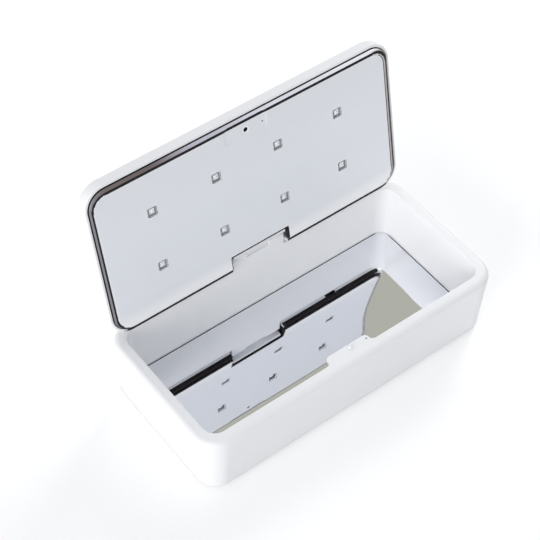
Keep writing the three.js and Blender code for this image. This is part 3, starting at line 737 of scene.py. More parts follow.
def circuit_board(name, color):
    finish, tree, shader = principled(name, color, roughness=0.5)
    darker = tuple(c * TRACK_SHADE for c in color)
    tracks = noise_value(tree, per_metre=350.0, detail=TRACK_DETAIL, stretch=TRACK_STRETCH)
    tree.links.new(shade_between(tree, tracks, color, darker), shader.inputs["Base Color"])
    add_bump(tree, shader, tracks, strength=0.2, distance=0.00002)
    return finish


def clear_plastic():
    finish, tree, shader = principled("clear_plastic", (0.88, 0.9, 0.93), roughness=0.12)
    shader.inputs["Coat Weight"].default_value = 0.4
    uneven_gloss(tree, shader, per_metre=200.0, low=0.09, high=0.16)
    return finish


def foil():
    finish, tree, shader = principled("foil", (0.42, 0.44, 0.47), roughness=0.35, metallic=0.7)
    creases = noise_value(tree, per_metre=120.0)
    add_bump(tree, shader, creases, strength=0.4, distance=0.0002)
    return finish


SHELL = moulded("white_shell", (0.87, 0.875, 0.885), roughness=0.38)
LINER = moulded("white_liner", (0.92, 0.925, 0.935), roughness=0.24)
MIRROR = floor_mirror()
# The tray's satin face with its painted sheen, and the painted dark reflections and shade, painted
# reflections and painted glints on the tray and its neighbours
TRAY = tray_metal()
PAINTED_DARK_LINE = painted_dark_line_metal()
PAINTED_REFLECTION_BAND = painted_reflection_band_metal()
# A painted highlight: the thin light line on the tray's hinge side, its windows' walls, the ring round its
# round hole and the deep part of its notch wall
PAINTED_GLINT = moulded("tray_painted_glint", (0.95, 0.95, 0.96), roughness=0.3)
STEEL = plain_metal("plain_steel", (0.5, 0.5, 0.52), roughness=0.3)
DARK_STEEL = plain_metal("dark_steel", (0.06, 0.06, 0.065), roughness=0.35)
RUBBER = moulded("grey_rubber", (0.27, 0.28, 0.29), roughness=0.8, tone=0.9, grain=0.00003)
LED_BOARD = circuit_board("led_board", (0.82, 0.83, 0.86))
GREEN_BOARD = circuit_board("green_board", (0.03, 0.15, 0.07))
CERAMIC = moulded("ceramic", (0.93, 0.94, 0.95), roughness=0.3)
DARK = moulded("dark_plastic", (0.02, 0.021, 0.024), roughness=0.5, tone=0.9)
CLEAR = clear_plastic()
FOIL = foil()
NYLON = moulded("nylon", (0.76, 0.75, 0.68), roughness=0.5)


# The tub's outer shell
def make_base_shell():
    shoulder_z = RIM_Z - BASE_TOP_ROUNDING
    lip_inset = BASE_DRAFT + LIP_WIDTH
    rounding_z = BASE_BOTTOM_ROUNDING
    ledge_inset = MOUTH_INSET - LINER_WALL - FIT_GAP
    ledge_under_z = FLANGE_UNDER_Z - LEDGE_THICKNESS
    gusset_z = ledge_under_z - (ledge_inset - BASE_WALL)

    def draft_at(z):
        return BASE_DRAFT * (shoulder_z - z) / shoulder_z

    profile = [
        (lip_inset, 0.0),
        *quarter((BASE_DRAFT + BASE_BOTTOM_ROUNDING, 0.0), (draft_at(rounding_z), rounding_z), False),
        *quarter((draft_at(shoulder_z), shoulder_z), (BASE_TOP_ROUNDING, RIM_Z), True),
        (BASE_TOP_ROUNDING, FLANGE_UNDER_Z),
        (ledge_inset, FLANGE_UNDER_Z),
        (ledge_inset, ledge_under_z),
        (BASE_WALL + draft_at(gusset_z), gusset_z),
        (BASE_WALL + draft_at(LIP_THICKNESS), LIP_THICKNESS),
        (lip_inset, LIP_THICKNESS),
    ]
    piece = loft("base_shell", rings_of(BASE_OUTLINE, profile), closed=True)
    dress(smooth(piece), SHELL, "base", "white_shell", "base_outer_shell")


def tab_outline():
    root_y = -BASE_DEPTH / 2 + MOUTH_INSET
    edge_y = root_y + TAB_REACH
    left = TAB_X - TAB_WIDTH / 2
    right = TAB_X + TAB_WIDTH / 2
    root = TAB_REACH - TAB_CORNER
    corner_y = edge_y - TAB_CORNER
    points = [(left - root, root_y - OVERRUN), (right + root, root_y - OVERRUN)]
    corners = (
        arc(right + root, root_y + root, root, 270, 180, 0)
        + arc(right - TAB_CORNER, corner_y, TAB_CORNER, 0, 90, 0)
        + arc(left + TAB_CORNER, corner_y, TAB_CORNER, 90, 180, 0)
        + arc(left - root, root_y + root, root, 0, -90, 0)
    )
    for x, y, _ in corners:
        if math.dist(points[-1], (x, y)) > TINY:
            points.append((x, y))
    return points


def tower_outline():
    front = HINGE_INSET - MOUTH_INSET
    back = KNUCKLE_RADIUS - TOWER_BACK_TRIM
    flange_back = HINGE_INSET - BASE_TOP_ROUNDING - FIT_GAP
    root_z = FLANGE_UNDER_Z + OVERRUN / 2
    over_rim_z = RIM_Z + FIT_GAP
    turn = math.acos(back / KNUCKLE_RADIUS)
    outline = [
        (HINGE_Y + front, root_z),
        (HINGE_Y + flange_back, root_z),
        (HINGE_Y + flange_back, over_rim_z),
        (HINGE_Y + back, over_rim_z),
    ]
    for step in range(CORNER_STEPS + 1):
        angle = turn + (math.pi / 2 - turn) * step / CORNER_STEPS
        y = HINGE_Y + KNUCKLE_RADIUS * math.cos(angle)
        outline.append((y, HINGE_Z + KNUCKLE_RADIUS * math.sin(angle)))
    for step in range(1, CORNER_STEPS + 1):
        angle = math.pi / 2 * (1 + step / CORNER_STEPS)
        y = HINGE_Y - front * math.cos(angle)
        outline.append((y, HINGE_Z + KNUCKLE_RADIUS * math.sin(angle)))
    return outline


# The white liner: flange, tub, tab and hinge tower
def make_liner():
    wall_inset = MOUTH_INSET - LINER_WALL
    under_inset = wall_inset + LINER_DRAFT
    rounding_z = LINER_UNDER_Z + LINER_UNDER_ROUNDING
    flange_inset = BASE_TOP_ROUNDING + SEAM
    flange_radius = BASE_CORNER - flange_inset
    profile = [
        *quarter((under_inset + LINER_UNDER_ROUNDING, LINER_UNDER_Z), (under_inset, rounding_z), False),
        (wall_inset, FLANGE_UNDER_Z),
        (flange_inset, FLANGE_UNDER_Z, flange_radius),
        (flange_inset, RIM_Z, flange_radius),
        *quarter((MOUTH_INSET - MOUTH_ROUNDING, RIM_Z), (MOUTH_INSET, RIM_Z - MOUTH_ROUNDING), False),
        (MOUTH_INSET + LINER_DRAFT, LINER_FLOOR_Z),
    ]
    liner = loft("liner", rings_of(LINER_OUTLINE, profile))
    tab = bevelled(drawn_up("tab", tab_outline(), RIM_Z - TAB_THICKNESS, RIM_Z), TAB_EDGE)
    tower_left = TOWER_X - TOWER_WIDTH / 2
    tower_right = TOWER_X + TOWER_WIDTH / 2
    tower = bevelled(drawn_across("tower", tower_outline(), tower_left, tower_right), HINGE_EDGE)
    bore_z = RIM_Z - PIN_BORE_DEPTH
    boss_top = RIM_Z - TAB_THICKNESS / 2
    boss = rod("boss", PIN_X, PIN_Y, PIN_BORE + PIN_BOSS_WALL, bore_z - PIN_BOSS_FLOOR, boss_top)
    combine(liner, [tab, tower, boss], "UNION")
    half = KNUCKLE_WIDTH / 2 + SLOT_GAP
    left = TOWER_X - half
    right = TOWER_X + half
    swing = KNUCKLE_RADIUS + SLOT_GAP
    front = HINGE_Y - (MOUTH_INSET - HINGE_INSET) - OVERRUN
    back = HINGE_Y + KNUCKLE_RADIUS + OVERRUN
    web_z = HINGE_Z - WEB_DROP - SLOT_GAP
    magnet_z = RIM_Z - TAB_THICKNESS + FIT_GAP
    combine(liner, [
        bar("swing", left, right, swing),
        block("slot", left, right, front, back, web_z, HINGE_Z + swing),
        block("behind", left, right, HINGE_Y, back, HINGE_Z - swing, HINGE_Z),
        bar("bore", tower_left - OVERRUN, tower_right + OVERRUN, PIN_HOLE),
        rod("pin_bore", PIN_X, PIN_Y, PIN_BORE, bore_z, RIM_Z + OVERRUN),
        rod("magnet_bore", MAGNET_X, PIN_Y, MAGNET_BORE, magnet_z, RIM_Z + OVERRUN, SMALL_SIDES),
    ], "DIFFERENCE")
    dress(smooth(liner), LINER, "base", "white_liner", "inner_tub")


# The floor plate: a thin polished sheet whose waves and lean bend what it mirrors, with painted shade along
# its edge
def make_floor_plate():
    inset = MOUTH_INSET + LINER_DRAFT + PLATE_GAP
    half_length = BASE_LENGTH / 2 - inset
    half_depth = BASE_DEPTH / 2 - inset
    corner = MOUTH_INSET + MOUTH_CORNER - inset
    columns = round(2 * half_length / PLATE_STEP)
    rows = round(2 * half_depth / PLATE_STEP)
    points = []
    for row in range(rows + 1):
        for column in range(columns + 1):
            x = -half_length + 2 * half_length * column / columns
            y = -half_depth + 2 * half_depth * row / rows
            place = into_corner(x, y, half_length, half_depth, corner)
            points.append((*place, FLOOR_Z - PLATE_SINK + plate_wave(*place)))
    faces = []
    for row in range(rows):
        for column in range(columns):
            first = row * (columns + 1) + column
            above = first + columns + 1
            faces.append((first, first + 1, above + 1, above))
    piece = mesh_object("floor_plate", points, faces)
    thick = piece.modifiers.new("sheet", "SOLIDIFY")
    thick.thickness = PLATE_THICKNESS * MM
    thick.offset = -1.0
    settled(piece)
    for side in (-1, 1):
        divide(piece, (side * (half_length - PLATE_SHADE_EDGE), 0, 0), (1, 0, 0))
        divide(piece, (0, side * (half_depth - PLATE_SHADE_EDGE), 0), (0, 1, 0))
    smooth(piece, SOFT_ANGLE)
    paint(piece.data, MIRROR, PAINTED_DARK_LINE)
    normals = []
    for face in piece.data.polygons:
        center = face.center / MM
        from_edge = min(half_length - abs(center.x), half_depth - abs(center.y))
        # Faces along the edge get the painted shade
        face.material_index = int(from_edge < PLATE_SHADE_EDGE)
        for index in face.vertices:
            place = piece.data.vertices[index].co / MM
            on_top = face.normal.z > HALF_LEVEL
            normals.append(plate_normal(place.x, place.y) if on_top else face.normal)
    piece.data.normals_split_custom_set(normals)
    settle_in(piece, "base", "polished_steel", "floor_mirror_plate")


# Moves a grid point near a corner of the plate in onto the corner's arc
def into_corner(x, y, half_length, half_depth, corner):
    past_x = abs(x) - (half_length - corner)
    past_y = abs(y) - (half_depth - corner)
    if past_x <= 0 or past_y <= 0:
        return x, y
    reach = max(past_x, past_y)
    out = math.hypot(past_x, past_y)
    share = reach / out
    new_x = half_length - corner + past_x * share
    new_y = half_depth - corner + past_y * share
    return math.copysign(new_x, x), math.copysign(new_y, y)


def plate_wave(x, y):
    slow = noise.noise(Vector((x / SLOW_WAVE_LENGTH, y / SLOW_WAVE_LENGTH, SLOW_WAVE_SEED)))
    quick = noise.noise(Vector((x / QUICK_WAVE_LENGTH, y / QUICK_WAVE_LENGTH, QUICK_WAVE_SEED)))
    to_right = max(0.0, 1 - (BASE_LENGTH / 2 - MOUTH_INSET - x) / QUICK_WAVE_REACH)
    return SLOW_WAVE * slow + QUICK_WAVE * quick * to_right


# The way the sheet faces at a place, from how it leans and waves
def plate_normal(x, y):
    share = (min(max(y, PLATE_LEAN_FROM), PLATE_LEAN_TO) - PLATE_LEAN_START) / PLATE_LEAN_SPAN
    lean = sum(part * share ** power for power, part in enumerate(PLATE_LEAN))
    across = (plate_wave(x + SLOPE_STEP, y) - plate_wave(x - SLOPE_STEP, y)) / (2 * SLOPE_STEP)
    along = (plate_wave(x, y + SLOPE_STEP) - plate_wave(x, y - SLOPE_STEP)) / (2 * SLOPE_STEP)
    return Vector((-PLATE_SIDE_LEAN - across, -lean - along, 1)).normalized()


# The pin on the tab, with its collar and groove
def make_pin():
    collar_top_z = RIM_Z + PIN_COLLAR_RISE
    tip_z = RIM_Z + PIN_RISE
    piece = turned("tab_pin", PIN_X, PIN_Y, [
        (PIN_SHANK, RIM_Z - PIN_SHANK_LENGTH),
        (PIN_SHANK, RIM_Z),
        (PIN_COLLAR, RIM_Z),
        (PIN_COLLAR, collar_top_z - PIN_COLLAR_EDGE),
        (PIN_COLLAR - PIN_COLLAR_EDGE, collar_top_z),
        (PIN_DOME + PIN_GROOVE, collar_top_z),
        (PIN_DOME, RIM_Z + PIN_GROOVE_RISE),
        *quarter((PIN_DOME, tip_z - PIN_DOME), (POINT, tip_z), True),
    ])
    dress(smooth(piece), CLEAR, "base", "clear_plastic", "interlock_pin")


# The lid's shell
def make_lid_shell():
    inner = LID_TOP_ROUNDING - LID_WALL
    profile = [
        (LID_WALL + inner + SUPPORT, CEILING_Z),
        *quarter((LID_WALL + inner, CEILING_Z), (LID_WALL, CEILING_Z - inner), False),
        (LID_WALL, LID_RIM_Z),
        *quarter((LID_RIM_ROUNDING, LID_RIM_Z), (0.0, LID_RIM_Z + LID_RIM_ROUNDING), False),
        (0.0, LID_RIM_Z + REAR_BAND),
        *quarter((0.0, LID_TOP_Z - LID_TOP_ROUNDING), (LID_TOP_ROUNDING, LID_TOP_Z), True),
        (LID_TOP_ROUNDING + SUPPORT, LID_TOP_Z),
    ]
    piece = loft("lid_shell", rings_of(LID_OUTLINE, profile), turn=LID_TURN)
    behind = LID_OUTLINE[3] + OVERRUN
    over = LID_TOP_Z + OVERRUN
    through = CEILING_Z - OVERRUN
    light_x = LED_X + LIGHT_SPACING
    lowest = LID_RIM_Z - OVERRUN
    socket_low, socket_high = shut_heights("usb_socket")
    combine(piece, [
        block("slot", NOTCH_LEFT, NOTCH_RIGHT, HINGE_Y + SLOT_START, behind, lowest, over, LID_TURN),
        rod("button_hole", LED_X, LED_FRONT_Y, BUTTON_RADIUS + FIT_GAP, through, over, turn=LID_TURN),
        rod("light_hole", light_x, LED_FRONT_Y, LIGHT_HOLE, through, over, SMALL_SIDES, LID_TURN),
        block(
            "socket_hole",
            SOCKET_X - SOCKET_HALF,
            SOCKET_X + SOCKET_HALF,
            LID_OUTLINE[3] - LID_WALL - OVERRUN,
            behind,
            socket_low - FIT_GAP,
            socket_high + FIT_GAP,
            LID_TURN,
        ),
    ], "DIFFERENCE")
    # The lid's rear rim, behind the tray, gets painted shade
    paint(piece.data, SHELL, PAINTED_DARK_LINE)
    back = LID_TURN.inverted()
    for face in piece.data.polygons:
        place = back @ (face.center / MM)
        face.material_index = int(place.y > TRAY_OUTLINE[3] and place.z < LID_RIM_Z + REAR_BAND)
    settle_in(smooth(piece), "lid", "white_shell", "lid_outer_shell")


# How high a node of the lid lies when the lid is shut, in millimetres
def shut_heights(cad_node):
    back = LID_TURN.inverted()
    heights = []
    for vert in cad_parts[cad_node].data.vertices:
        heights.append((back @ (vert.co / MM)).z)
    return min(heights), max(heights)


# The tray: its face is satin with a painted sheen, and the bands of its rounded edge have painted dark
# reflections, painted reflections and painted glints
def make_tray():
    shoulder_z = TRAY_FACE_Z + TRAY_ROUNDING_DROP
    wall_top_z = LID_RIM_Z + TRAY_WALL_RISE
    profile = [
        (TRAY_ROUNDING + SUPPORT, NOTCH_ROUNDING + SUPPORT, TRAY_FACE_Z),
        *quarter((TRAY_ROUNDING, NOTCH_ROUNDING, TRAY_FACE_Z), (0.0, 0.0, shoulder_z), False, EDGE_STEPS),
        (0.0, 0.0, wall_top_z),
        (TRAY_SHEET, TRAY_SHEET, wall_top_z),
        *quarter(
            (TRAY_SHEET, TRAY_SHEET, shoulder_z),
            (TRAY_ROUNDING, NOTCH_ROUNDING, TRAY_BACK_Z),
            True,
        ),
        (TRAY_ROUNDING + SUPPORT, NOTCH_ROUNDING + SUPPORT, TRAY_BACK_Z),
    ]
    piece = loft("lid_tray", [tray_ring(*place) for place in profile])
    relief = (
        PIN_X - RELIEF_WIDTH / 2,
        PIN_X + RELIEF_WIDTH / 2,
        TRAY_OUTLINE[2] - OVERRUN,
        TRAY_OUTLINE[2] + RELIEF_DEPTH,
        RELIEF_RADIUS,
    )
    slope = [(0.0, TRAY_FACE_Z - OVERRUN)]
    for step in range(ROUNDING_STEPS + 1):
        share = step / ROUNDING_STEPS
        sink = RELIEF_SINK * share * share * (3 - 2 * share)
        slope.append((RELIEF_SLOPE * share, TRAY_FACE_Z + sink))
    slope.append((RELIEF_SLOPE + SUPPORT, TRAY_FACE_Z + RELIEF_SINK))
    pocket = loft("pocket", rings_of(relief, slope))
    back_z = TRAY_BACK_Z + OVERRUN
    holes = [
        turned("sight_hole", PIN_X, PIN_Y, [
            (SIGHT_HOLE_RADIUS + SIGHT_RING, TRAY_FACE_Z - OVERRUN),
            (SIGHT_HOLE_RADIUS + SIGHT_RING, TRAY_FACE_Z + RELIEF_SINK),
            (SIGHT_HOLE_RADIUS, TRAY_FACE_Z + RELIEF_SINK + SIGHT_RING_DEPTH),
            (SIGHT_HOLE_RADIUS, back_z),
        ]),
        rod("dot", MAGNET_X, PIN_Y, DOT_RADIUS, TRAY_FACE_Z - OVERRUN, back_z, SMALL_SIDES),
    ]
    half = WINDOW_SIZE / 2
    for x, y in led_places():
        window = (x - half, x + half, y - half, y + half, WINDOW_RADIUS)
        holes.append(loft("window", rings_of(window, [
            (-WINDOW_CHAMFER, TRAY_FACE_Z - OVERRUN),
            (-WINDOW_CHAMFER, TRAY_FACE_Z),
            (0.0, TRAY_FACE_Z + WINDOW_LIP),
            (0.0, back_z),
        ])))
    combine(piece, [pocket], "DIFFERENCE")
    combine(piece, holes, "DIFFERENCE")
    divide(piece, (0, TRAY_OUTLINE[2] + TRAY_ROUNDING + SUPPORT, 0), (0, 1, 0))
    divide(piece, (0, NOTCH_FRONT - NOTCH_ROUNDING - NOTCH_LINE, 0), (0, 1, 0))
    divide(piece, (NOTCH_LEFT - NOTCH_ROUNDING, 0, 0), (1, 0, 0))
    divide(piece, (NOTCH_RIGHT + NOTCH_ROUNDING, 0, 0), (1, 0, 0))
    paint(piece.data, TRAY, PAINTED_DARK_LINE, PAINTED_REFLECTION_BAND, PAINTED_GLINT)
    for face in piece.data.polygons:
        face.material_index = tray_band(face.center / MM, face.normal)
    turn_mesh(piece.data, LID_TURN)
    settle_in(smooth(piece), "lid", "satin_steel", "lid_mirror_tray")


# Which finish a face of the tray has, by its place on the rounded edge, at a window, the round hole or the
# notch: its face, a painted dark reflection, a painted reflection or a painted glint
def tray_band(center, normal):
    drop = center.z - TRAY_FACE_Z
    inset = tray_inset(center.x, center.y)
    from_notch = notch_distance(center.x, center.y)
    # A window's lip gets a painted dark reflection, and its walls a painted glint that lightens their shade
    if is_window_side(center, normal):
        is_dark_lip = drop < WINDOW_LIP and normal.y < HALF_LEVEL
        return PAINTED_DARK_FINISH if is_dark_lip else PAINTED_GLINT_FINISH
    # The countersink round the round hole gets a painted glint
    if is_sight_ring(center, normal):
        return PAINTED_GLINT_FINISH
    # The notch's edge gets a painted dark reflection, and its wall deeper down a painted glint
    if near_notch(center.x, center.y, from_notch):
        return PAINTED_GLINT_FINISH if drop > NOTCH_LINE_DROP else PAINTED_DARK_FINISH
    if inset > TRAY_ROUNDING + SUPPORT or normal.z > HALF_LEVEL:
        return FACE_FINISH
    # The wall beyond the rounding is a painted dark reflection
    if drop > TRAY_ROUNDING_DROP * SHOULDER_SHARE:
        return PAINTED_DARK_FINISH
    # Along the rounded edge: painted dark reflections, a painted reflection band, and on the hinge side a
    # painted glint
    turn = math.asin(max(0.0, 1 - inset / TRAY_ROUNDING)) / (math.pi / 2)
    stops, on_hinge_side = edge_stops(center.x, center.y)
    inner = PAINTED_GLINT_FINISH if on_hinge_side else PAINTED_REFLECTION_FINISH
    for stop, finish in zip(stops, (FACE_FINISH, PAINTED_DARK_FINISH, inner, PAINTED_DARK_FINISH)):
        if turn < stop:
            return finish
    return PAINTED_REFLECTION_FINISH


def near_notch(x, y, from_notch):
    sideways = NOTCH_LEFT - NOTCH_ROUNDING < x < NOTCH_RIGHT + NOTCH_ROUNDING
    reach = NOTCH_ROUNDING + (NOTCH_LINE if sideways else SUPPORT)
    return from_notch < reach and y > NOTCH_FRONT - reach


# How far a place lies past the middles of the tray's corners, sideways and lengthways
def past_corners(x, y):
    left, right, front, back, corner = TRAY_OUTLINE
    return max(left + corner - x, x - right + corner), max(front + corner - y, y - back + corner)


# The stops run over from one side's to the next one's round a corner, and the inner band changes from
# painted reflection to painted glint half way
def edge_stops(x, y):
    left, right, front, back, _ = TRAY_OUTLINE
    at_hinge = y > (front + back) / 2
    end = HINGE_STOPS if at_hinge else FRONT_STOPS
    side = LEFT_STOPS if x < (left + right) / 2 else RIGHT_STOPS
    across, along = past_corners(x, y)
    if across <= 0:
        share = 1.0
    elif along <= 0:
        share = 0.0
    else:
        share = math.atan2(along, across) / (math.pi / 2)
    stops = [a + (b - a) * share for a, b in zip(side, end)]
    return stops, at_hinge and share > 0.5


def is_window_side(center, normal):
    if abs(normal.z) > NEARLY_LEVEL:
        return False
    reach = WINDOW_SIZE / 2 + WINDOW_CHAMFER
    return any(abs(center.x - x) < reach and abs(center.y - y) < reach for x, y in led_places())


# The shallow countersink round the round hole
def is_sight_ring(center, normal):
    from_hole = math.hypot(center.x - PIN_X, center.y - PIN_Y)
    in_ring = SIGHT_HOLE_RADIUS < from_hole < SIGHT_HOLE_RADIUS + SIGHT_RING
    return in_ring and SLOPING[0] < abs(normal.z) < SLOPING[1]


def tray_inset(x, y):
    left, right, front, back, corner = TRAY_OUTLINE
    across, along = past_corners(x, y)
    if across > 0 and along > 0:
        return corner - math.hypot(across, along)
    return min(x - left, right - x, y - front, back - y)


def notch_distance(x, y):
    across = max(NOTCH_LEFT - x, x - NOTCH_RIGHT, 0.0)
    along = max(NOTCH_FRONT - y, 0.0)
    return math.hypot(across, along)


def led_places():
    places = []
    for y in (LED_FRONT_Y, LED_REAR_Y):
        for column in range(LED_COLUMNS):
            places.append((LED_X + (column - (LED_COLUMNS - 1) / 2) * LED_PITCH, y))
    return places


# A UV LED: a ceramic body with bevelled edges and a sunk middle, and a clear lens in it
def make_led(index, x, y):
    face_z = TRAY_FACE_Z + LED_SETBACK
    well_z = face_z + LED_WELL_DEPTH
    half = LED_SIZE / 2
    outline = (x - half, x + half, y - half, y + half, LED_CORNER)
    body = loft(f"led_{index}", rings_of(outline, [
        (LED_WELL_REACH, well_z, LED_WELL_CORNER),
        (LED_RIM + LED_WELL_SLOPE, well_z, LED_WELL_CORNER),
        (LED_RIM, face_z, LED_WELL_CORNER),
        (LED_EDGE, face_z, LED_CORNER),
        (0.0, face_z + LED_EDGE, LED_CORNER),
        (0.0, face_z + LED_THICKNESS, LED_CORNER),
    ]))
    lens = turned("lens", x, y, [
        *quarter((POINT, face_z - LENS_RISE), (LENS_RADIUS, face_z + LENS_FOOT), False),
        (LENS_RADIUS, face_z + LENS_SINK),
    ], SMALL_SIDES)
    paint(body.data, CERAMIC, CLEAR)
    shape = bmesh.new()
    shape.from_mesh(body.data)
    known = len(shape.faces)
    shape.from_mesh(lens.data)
    shape.faces.ensure_lookup_table()
    for face in shape.faces[known:]:
        face.material_index = 1
    bmesh.ops.recalc_face_normals(shape, faces=shape.faces)
    shape.to_mesh(body.data)
    shape.free()
    bpy.data.objects.remove(lens)
    turn_mesh(body.data, LID_TURN)
    smooth(body)
    settle_in(body, "lid", "ceramic", f"uv_led_{index}")


# The lid's hinge arm: the block in the notch, the barrel, its web and the plate inside the lid
def make_arm():
    front = NOTCH_DEPTH - HINGE_INSET - LID_OVERHANG - FIT_GAP
    back = front - ARM_DEPTH
    left = TOWER_X - NOTCH_WIDTH / 2 + ARM_SIDE_GAP
    right = TOWER_X + NOTCH_WIDTH / 2 - ARM_SIDE_GAP
    top = HINGE_Z + KNUCKLE_RADIUS
    outline = [(HINGE_Y - back, top), (HINGE_Y - front, top)]
    low = HINGE_Z - ARM_DROP + ARM_EDGE_RADIUS
    for start, y in ((180, HINGE_Y - front + ARM_EDGE_RADIUS), (270, HINGE_Y - back - ARM_EDGE_RADIUS)):
        for px, pz, _ in arc(y, low, ARM_EDGE_RADIUS, start, start + 90, 0, ROUNDING_STEPS):
            outline.append((px, pz))
    body = bevelled(drawn_across("hinge_arm", outline, left, right, LID_TURN), HINGE_EDGE)
    knuckle_left = TOWER_X - KNUCKLE_WIDTH / 2
    knuckle_right = TOWER_X + KNUCKLE_WIDTH / 2
    web_front = HINGE_Y - back - ARM_EDGE_RADIUS
    web_back = HINGE_Y - BARREL_HOLE
    web_low = HINGE_Z - WEB_DROP
    plate_front = HINGE_Y - front - ARM_PLATE_REACH
    plate_back = HINGE_Y - front + ARM_EDGE_RADIUS
    plate_top = HINGE_Z + ARM_PLATE_RISE
    plate_low = plate_top - ARM_PLATE_THICKNESS
    combine(body, [
        bar("barrel", knuckle_left, knuckle_right, KNUCKLE_RADIUS, LID_TURN),
        block("web", knuckle_left, knuckle_right, web_front, web_back, web_low, top, LID_TURN),
        block("plate", left, right, plate_front, plate_back, plate_low, plate_top, LID_TURN),
    ], "UNION")
    screw_y = HINGE_Y - front - ARM_PLATE_REACH / 2
    low = plate_low - OVERRUN
    high = plate_top + OVERRUN
    tools = [bar("bore", knuckle_left - OVERRUN, knuckle_right + OVERRUN, BARREL_HOLE, LID_TURN)]
    for side in (-1, 1):
        x = TOWER_X + side * ARM_SCREW_SPACING / 2
        tools.append(rod("hole", x, screw_y, ARM_SCREW_HOLE, low, high, SMALL_SIDES, LID_TURN))
    combine(body, tools, "DIFFERENCE")
    dress(smooth(body), SHELL, "lid", "white_shell", "lid_hinge_arm")


# The start button and its status light, on top of the lid
def make_button():
    low, high = shut_heights("power_button")
    flange_top = CEILING_Z - FIT_GAP
    flange_under = flange_top - BUTTON_FLANGE_THICKNESS
    piece = turned("start_button", LED_X, LED_FRONT_Y, [
        (BUTTON_STEM, low),
        (BUTTON_STEM, flange_under),
        (BUTTON_FLANGE, flange_under),
        (BUTTON_FLANGE, flange_top),
        (BUTTON_RADIUS, flange_top),
        *quarter((BUTTON_RADIUS, high - BUTTON_EDGE), (BUTTON_RADIUS - BUTTON_EDGE, high), True),
        *((radius, high - depth) for radius, depth in BUTTON_DISH),
    ], turn=LID_TURN)
    dress(smooth(piece, SOFT_ANGLE), SHELL, "start_button", "white_shell", "power_button")


def make_light():
    low, high = shut_heights("status_light_pipe")
    flange_top = CEILING_Z - FIT_GAP
    flange_under = flange_top - LIGHT_FLANGE_THICKNESS
    piece = turned("status_light", LED_X + LIGHT_SPACING, LED_FRONT_Y, [
        (LIGHT_RADIUS, low),
        (LIGHT_RADIUS, flange_under),
        (LIGHT_FLANGE, flange_under),
        (LIGHT_FLANGE, flange_top),
        (LIGHT_RADIUS, flange_top),
        *quarter((LIGHT_RADIUS, high - LIGHT_EDGE_DROP), (LIGHT_RADIUS - LIGHT_EDGE, high), True),
    ], SMALL_SIDES, LID_TURN)
    dress(smooth(piece), CLEAR, "lid", "clear_plastic", "status_light_pipe")


def make_feet():
    for index in range(1, FOOT_COUNT + 1):
        low, high = (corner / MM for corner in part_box(f"foot_{index}"))
        x = (low.x + high.x) / 2
        y = (low.y + high.y) / 2
        radius = (high.x - low.x) / 2
        piece = turned(f"rubber_foot_{index}", x, y, [
            *quarter((radius - FOOT_ROUNDING, low.z), (radius, low.z + FOOT_ROUNDING), False),
            (radius, high.z),
        ])
        dress(smooth(piece), RUBBER, "base", "grey_rubber", f"foot_{index}")


make_base_shell()
make_liner()
make_floor_plate()
make_pin()
make_lid_shell()
make_tray()
make_arm()
make_button()
make_light()
make_feet()
for led_index, (led_x, led_y) in enumerate(led_places()):
    make_led(led_index + 1, led_x, led_y)

# The CAD nodes that stay get their finishes
CARRIED = (
    (STEEL, ("tab_magnet", "hinge_pin", "arm_screw_1", "arm_screw_2")),
    (STEEL, ("bottom_screw_1", "bottom_screw_2", "bottom_screw_3", "bottom_screw_4")),
    (SHELL, ("bottom_cover",)),
    (NYLON, ("hinge_bush_left", "hinge_bush_right")),
    (LED_BOARD, ("led_board_front", "led_board_rear")),
    (DARK, ("interlock_switch", "interlock_plunger", "magnet_sensor", "button_switch")),
    (FOIL, ("battery_cell_1", "battery_cell_2")),
    (GREEN_BOARD, ("control_board",)),
    (DARK_STEEL, ("usb_socket",)),
)
for carried_finish, carried_nodes in CARRIED:
    for carried_node in carried_nodes:
        paint(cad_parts[carried_node].data, carried_finish)


# The white floor keeps the box's shadow, and the camera and the polished metal see it white
def make_floor():
    finish = bpy.data.materials.new("studio_floor")
    finish.use_nodes = True
    tree = finish.node_tree
    tree.nodes.clear()
    matte = node(tree, "BsdfDiffuse", {"Color": (*FLOOR_TONE, 1)})
    glow = node(tree, "Emission")
    rays = node(tree, "LightPath")
    seen = node(tree, "Math")
    seen.operation = "MAXIMUM"
    tree.links.new(rays.outputs["Is Camera Ray"], seen.inputs[0])
    tree.links.new(rays.outputs["Is Glossy Ray"], seen.inputs[1])
    level = node(tree, "Math", {1: FLOOR_GLOW})
    level.operation = "MULTIPLY"
    tree.links.new(seen.outputs[0], level.inputs[0])
    tree.links.new(level.outputs[0], glow.inputs["Strength"])
    both = node(tree, "AddShader")
    out = node(tree, "OutputMaterial")
    tree.links.new(matte.outputs[0], both.inputs[0])
    tree.links.new(glow.outputs[0], both.inputs[1])
    tree.links.new(both.outputs[0], out.inputs["Surface"])
    floor = mesh_object("studio_floor", [
        (-FLOOR_REACH, -FLOOR_REACH, FLOOR_LEVEL),
        (FLOOR_REACH, -FLOOR_REACH, FLOOR_LEVEL),
        (FLOOR_REACH, FLOOR_REACH, FLOOR_LEVEL),
        (-FLOOR_REACH, FLOOR_REACH, FLOOR_LEVEL),
    ], [(0, 1, 2, 3)])
    paint(floor.data, finish)


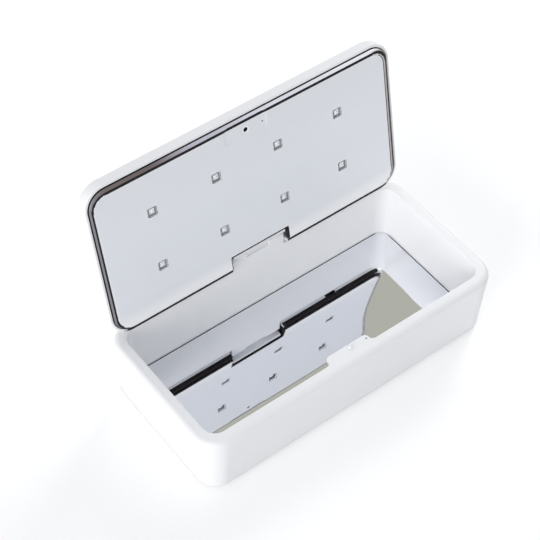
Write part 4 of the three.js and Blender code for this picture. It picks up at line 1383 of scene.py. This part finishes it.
# The world: soft light, white to the camera, and nearly white to metal but for a grey part behind the box
def make_world():
    world = bpy.data.worlds.new("studio")
    bpy.context.scene.world = world
    world.use_nodes = True
    tree = world.node_tree
    tree.nodes.clear()
    soft = node(tree, "Background", {"Color": (*SOFT_TONE, 1), "Strength": SOFT_LEVEL})
    white = node(tree, "Background", {"Color": (1, 1, 1, 1)})
    room = node(tree, "Background")
    toward = length_along(tree, "Generated", Vector(ROOM_DARK_WAY).normalized())
    nearness = node(tree, "MapRange", {
        "From Min": math.cos(math.radians(ROOM_DARK_OUTER)),
        "From Max": math.cos(math.radians(ROOM_DARK_INNER)),
    })
    nearness.interpolation_type = "SMOOTHSTEP"
    tree.links.new(toward, nearness.inputs["Value"])
    tone = shade_between(tree, nearness.outputs["Result"], ROOM_LIGHT, ROOM_DARK)
    tree.links.new(tone, room.inputs["Color"])
    rays = node(tree, "LightPath")
    to_room = node(tree, "MixShader")
    to_white = node(tree, "MixShader")
    out = node(tree, "OutputWorld")
    tree.links.new(rays.outputs["Is Glossy Ray"], to_room.inputs[0])
    tree.links.new(soft.outputs[0], to_room.inputs[1])
    tree.links.new(room.outputs[0], to_room.inputs[2])
    tree.links.new(rays.outputs["Is Camera Ray"], to_white.inputs[0])
    tree.links.new(to_room.outputs[0], to_white.inputs[1])
    tree.links.new(white.outputs[0], to_white.inputs[2])
    tree.links.new(to_white.outputs[0], out.inputs["Surface"])


def make_lamp(name, place, size, power):
    light = bpy.data.lights.new(name, "AREA")
    light.shape = "SQUARE"
    light.size = size
    light.energy = power
    light.color = LAMP_TONE
    lamp = placed(name, light)
    lamp.location = place
    aim = Vector(LAMP_TARGET) - Vector(place)
    lamp.rotation_euler = aim.to_track_quat("-Z", "Y").to_euler()


def make_camera():
    yaw = math.radians(CAMERA_YAW)
    pitch = math.radians(CAMERA_PITCH)
    roll = math.radians(CAMERA_ROLL)
    forward = Vector((
        math.sin(yaw) * math.cos(pitch),
        math.cos(yaw) * math.cos(pitch),
        -math.sin(pitch),
    ))
    level = Vector((math.cos(yaw), -math.sin(yaw), 0))
    upright = level.cross(forward)
    right = math.cos(roll) * level + math.sin(roll) * upright
    up = math.cos(roll) * upright - math.sin(roll) * level
    data = bpy.data.cameras.new("camera")
    data.lens = LENS
    data.sensor_width = SENSOR_WIDTH
    data.clip_start = CLIP_START
    camera = placed("camera", data)
    axes = Matrix((right, up, -forward)).transposed().to_4x4()
    camera.matrix_world = Matrix.Translation(Vector(CAMERA_PLACE) * MM) @ axes
    bpy.context.scene.camera = camera


make_floor()
make_world()
make_lamp("left_softbox", **LEFT_LAMP)
make_lamp("back_softbox", **BACK_LAMP)
make_camera()
bpy.context.scene.view_settings.view_transform = "Standard"
